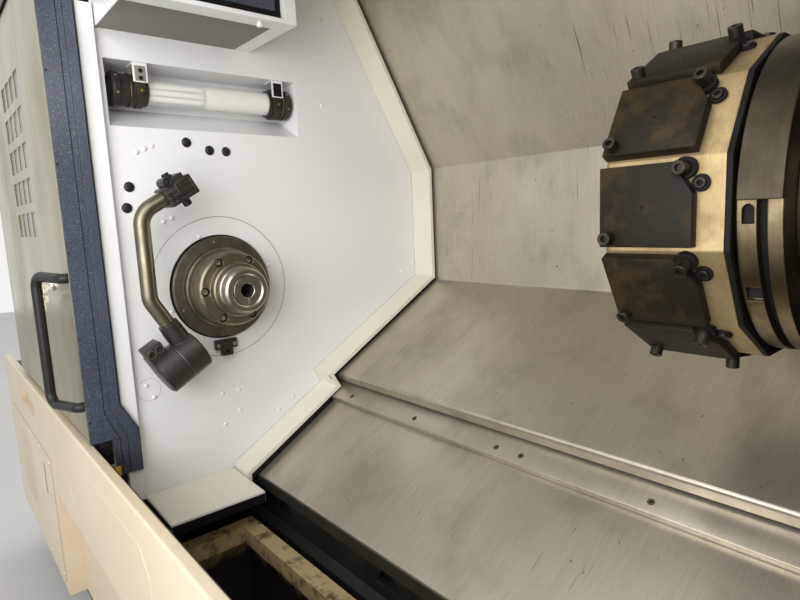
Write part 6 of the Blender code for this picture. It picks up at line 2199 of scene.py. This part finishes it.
@dataclass
class OperatorPanel(Assembly):
    """Screen, keys, bezel and controls of the operator panel."""

    face: float = -0.318
    x0: float = 1.300
    z0: float = -0.140
    z1: float = 0.540
    e_stop: Point2 = (1.760, 0.190)
    start: Point2 = (1.760, 0.100)
    feed: Point2 = (1.690, 0.100)
    wheel: Point2 = (1.725, -0.010)

    def control(
        self, name: str, node: str, body: Body, finish: Finish, place: Point2, radius: float, stem: float,
        height: float,
        grip: int = 0,
    ) -> None:
        """Makes one round control that stands for its node.

        Args:
            name: The piece's name.
            node: The node that it replaces.
            body: The body that it rides on.
            finish: Its finish.
            place: X and Z of its axis.
            radius: Radius of its head.
            stem: Radius of its stem.
            height: Height of its head.
            grip: Number of grooves round the head, or 0.
        """
        x, z = place
        neck, end = self.face - 0.007, self.face + 0.004
        shape = [(end, 0), (end, stem), (neck, stem), (neck, radius - 0.001), (neck - 0.001, radius)]
        for k in range(1, 5):
            angle = pi / 2 * k / 4
            shape.append((neck - height + 0.003 - 0.003 * sin(angle), radius - 0.003 + 0.003 * cos(angle)))
        shape.append((neck - height, 0))
        cuts = []
        if grip:
            grooves = Former()
            for i in range(grip):
                angle = 2 * pi * i / grip
                spot = (x + (radius + 0.0006) * cos(angle), 0, z + (radius + 0.0006) * sin(angle))
                grooves.tube(neck - height - 0.005, neck + 0.0005, 0, 0.0016, 8, spot, Along.Y)
            cuts.append(grooves)
        head = Former().turned(shape, 56, (x, 0, z), Along.Y)
        head.piece(name, finish, body, node, cuts=cuts, smooth=35)

    def build(self) -> None:
        """Makes the panel's pieces."""
        x0, z0, z1, face = self.x0, self.z0, self.z1, self.face
        screen = Former().box(
            (x0 + 0.0603, face + 0.0012, z1 - 0.3497), (x0 + 0.3997, face + 0.0057, z1 - 0.0603)
        )
        screen.piece("screen_glass", SCREEN, Body.MACHINE, "panel_screen", bevel=0.001)
        bezel = Former()
        a, b, c, d, w = x0 + 0.056, x0 + 0.404, z1 - 0.354, z1 - 0.056, 0.006
        for low, high in (
            ((a, c), (b, c + w)), ((a, d - w), (b, d)), ((a, c + w), (a + w, d - w)),
            ((b - w, c + w), (b, d - w))
        ):
            bezel.box((low[0], face - 0.0016, low[1]), (high[0], face + 0.0006, high[1]))
        bezel.piece("screen_bezel", BLACK, Body.MACHINE, bevel=0.0007)
        spots = [
            (x0 + 0.094 + 0.040 * i, face - 0.0012, z0 + 0.151 + 0.032 * j)
            for i in range(4)
            for j in range(4)
        ]
        cap = Former(LOOSE).prism(
            [(-0.0125, -0.0095), (0.0125, -0.0095), (0.0125, 0.0095), (-0.0125, 0.0095)], 0, 0.0022
        )
        self.shop.scatter("panel_keys", cap.piece("key_form", BLACK, bevel=0.0008), spots, (0, -1, 0), BLACK)
        self.control("stop_mushroom", "e_stop_button", Body.E_STOP, RED, self.e_stop, 0.019, 0.011, 0.012)
        self.control("start_cap", "start_button", Body.START, GREEN, self.start, 0.012, 0.008, 0.005)
        self.control("feed_dial", "feed_knob", Body.FEED_KNOB, BLACK, self.feed, 0.014, 0.009, 0.012, 18)
        self.control("hand_wheel", "handwheel", Body.HANDWHEEL, BLACK, self.wheel, 0.034, 0.014, 0.010, 36)
        collars = Former()
        for (x, z), r, hole in (
            (self.e_stop, 0.024, 0.0200), (self.start, 0.0145, 0.0095), (self.feed, 0.0165, 0.0105),
            (self.wheel, 0.039, 0.0155)
        ):
            collars.turned(
                [
                    (face + 0.0004, hole), (face + 0.0004, r), (face - 0.0012, r), (face - 0.0020, r - 0.001),
                    (face - 0.0020, hole)
                ],
                56, (x, 0, z), Along.Y
            )
        collars.piece("control_collars", NICKEL, Body.MACHINE, smooth=35)


@dataclass
class Back(Assembly):
    """Louvres and screws of the rear cover, hinges and vent of the electrical cabinet."""

    rear: float = 0.780
    vent_x: Point2 = (1.28, 1.56)
    vent_z: float = 0.42
    vent_pitch: float = 0.036

    def build(self) -> None:
        """Makes the pieces of the back."""
        spots = [
            (x + 0.100, self.rear - 0.0004, self.vent_z + 0.0105 + self.vent_pitch * i)
            for x in self.vent_x
            for i in range(7)
        ]
        outline = [(0, -0.002), (0.0075, -0.0085), (0.0085, -0.0085), (0.0010, 0.0015), (0, 0.0015)]
        slat = Former(LOOSE).prism(outline, -0.102, 0.102, Along.Y)
        self.shop.scatter("rear_louvres", slat.piece("slat_form", WHITE), spots, (0, 1, 0), WHITE)
        edges = [(-1.130 + 0.25 * i, self.rear, z) for i in range(13) for z in (-0.755, 0.830)]
        edges += [(x, self.rear, -0.505 + 0.25 * j) for x in (-1.130, 1.890) for j in range(5)]
        self.shop.scatter(
            "rear_cover_screws", dome("rear_screw_form", 0.0060, 0.0025), edges, (0, 1, 0), NICKEL
        )
        hinges = Former()
        for z in (-0.560, 0.0, 0.500):
            hinges.turned(
                [
                    (z - 0.035, 0), (z - 0.035, 0.0065), (z - 0.034, 0.0072), (z + 0.034, 0.0072),
                    (z + 0.035, 0.0065), (z + 0.035, 0)
                ],
                24, (-0.4275, 1.1930, 0), Along.Z
            )
        hinges.piece("cabinet_hinges", RAIL_STEEL, Body.MACHINE)


# Studio


@dataclass
class Studio:
    """Floor, lamps, sky and the camera of the photograph's view."""

    camera_place: Vector = field(default_factory=lambda: SPINDLE + Vector((1.186, -0.502271, 0.13046)))
    right: tuple[float, float, float] = (0.6497436, 0.75888052, -0.04397286)
    up: tuple[float, float, float] = (-0.07977137, 0.12559859, 0.98886881)
    back: tuple[float, float, float] = (0.7559562, -0.63900341, 0.14214382)
    lens: float = 25.72
    background: str = "F4F4F2"
    sky: float = 0.76

    def lamp(self, name: str, place: Point3, target: Point3, size: Point2, power: float, colour: str) -> None:
        """Adds a soft lamp that faces a target.

        Args:
            name: The lamp's name.
            place: Its place in the spindle frame.
            target: The point that it faces.
            size: Its width and height.
            power: Its power in watts.
            colour: Its colour.
        """
        light = bpy.data.lights.new(name, "AREA")
        light.shape = "RECTANGLE"
        light.size, light.size_y = size
        light.energy = power
        light.color = linear(colour)[:3]
        obj = linked(name, light)
        obj.visible_camera = False
        obj.location = SPINDLE + Vector(place)
        way = Vector(target) - Vector(place)
        obj.rotation_euler = way.to_track_quat("-Z", "Y").to_euler()

    def world(self) -> None:
        """A plain sky: pale where it is seen or mirrored, softer where it only lights."""
        world = bpy.data.worlds.new("studio")
        bpy.context.scene.world = world
        world.use_nodes = True
        tree = world.node_tree
        tree.nodes.clear()
        path = add_node(tree, "ShaderNodeLightPath")
        seen = path.outputs["Is Camera Ray"]
        for name in ("Is Glossy Ray", "Is Transmission Ray"):
            seen = add_node(
                tree, "ShaderNodeMath", {0: seen, 1: path.outputs[name]}, operation="MAXIMUM"
            ).outputs[0]
        lit = add_node(tree, "ShaderNodeBackground", {"Color": linear("FFFFFF"), "Strength": self.sky})
        shown = add_node(tree, "ShaderNodeBackground", {"Color": linear(self.background), "Strength": 1.0})
        mixed = add_node(tree, "ShaderNodeMixShader", {0: seen, 1: lit.outputs[0], 2: shown.outputs[0]})
        add_node(tree, "ShaderNodeOutputWorld", {"Surface": mixed.outputs[0]})

    def build(self) -> None:
        """Makes the studio."""
        floor = Former(LOOSE).box((-9, -9, -0.02), (9, 9, 0.0)).piece("floor", FLOOR)
        floor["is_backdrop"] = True
        self.world()
        self.lamp("front_lamp", (1.7, -2.1, 1.1), (0.4, 0.1, 0.0), (1.8, 1.6), 32, "FBFCFF")
        self.lamp("cabin_lamp", (0.62, -0.28, 0.50), (0.30, 0.10, -0.10), (0.7, 0.25), 1.4, "FFFCF6")
        self.lamp("door_lamp", (0.85, -0.95, 0.15), (0.25, 0.25, 0.85), (1.0, 0.8), 10.5, "FFFDFA")
        self.lamp("back_lamp", (-1.5, 4.0, 2.5), (0.3, 0.6, 0.0), (3.0, 2.0), 55, "FFFFFF")
        camera = bpy.data.cameras.new("camera")
        camera.lens = self.lens
        camera.sensor_width = 36
        camera.clip_start = 0.01
        obj = linked("camera", camera)
        columns = Matrix((self.right, self.up, self.back)).transposed().to_4x4()
        obj.matrix_world = Matrix.Translation(self.camera_place) @ columns
        bpy.context.scene.camera = obj
        bpy.context.scene.view_settings.view_transform = "Standard"


def dress_nodes(nodes: dict[str, bpy.types.Object]) -> None:
    """Gives the CAD nodes that stay shown their finishes.

    Args:
        nodes: The frame's nodes, by name.
    """
    for finish, names in NODE_FINISHES.items():
        for name in names:
            dress(nodes[name], finish)
            log.info("%s in %s", name, finish.name)


def corners() -> list[list[float]]:
    """The shown object's lowest and highest corners as plain lists."""
    return [list(corner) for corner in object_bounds()]


def main() -> None:
    """Builds the looks, sub-assembly by sub-assembly."""
    logging.basicConfig(level=logging.INFO, format="%(name)s: %(message)s")
    for leftover in list(bpy.data.objects):
        bpy.data.objects.remove(leftover)
    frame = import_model()
    dress_nodes(frame["nodes"])
    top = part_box("chip_trough")[1].z
    trough = GrimyPaint(
        "worn_yellow_paint", "yellow_paint", "C6B182", "5C4C2C", 0.62, 0.0, 30.0, 0.50, 0.66, 2.0, 0.0003,
        level=top - 0.012
    )
    dress(frame["nodes"]["chip_trough"], trough)
    shop = Workshop()
    assemblies = (
        HeadstockWall, NozzleBlock, RimWiper, WorkLight, Spindle, ToolSetter, Turret, TurretHousing,
        BedCovers, Door,
        RoofBox, FrontCover, OperatorPanel, Back,
    )
    for kind in assemblies:
        log.info("%s: %s", kind.__name__, kind.__doc__)
        kind(shop).build()
    Studio().build()


if __name__ == "__main__":
    main()
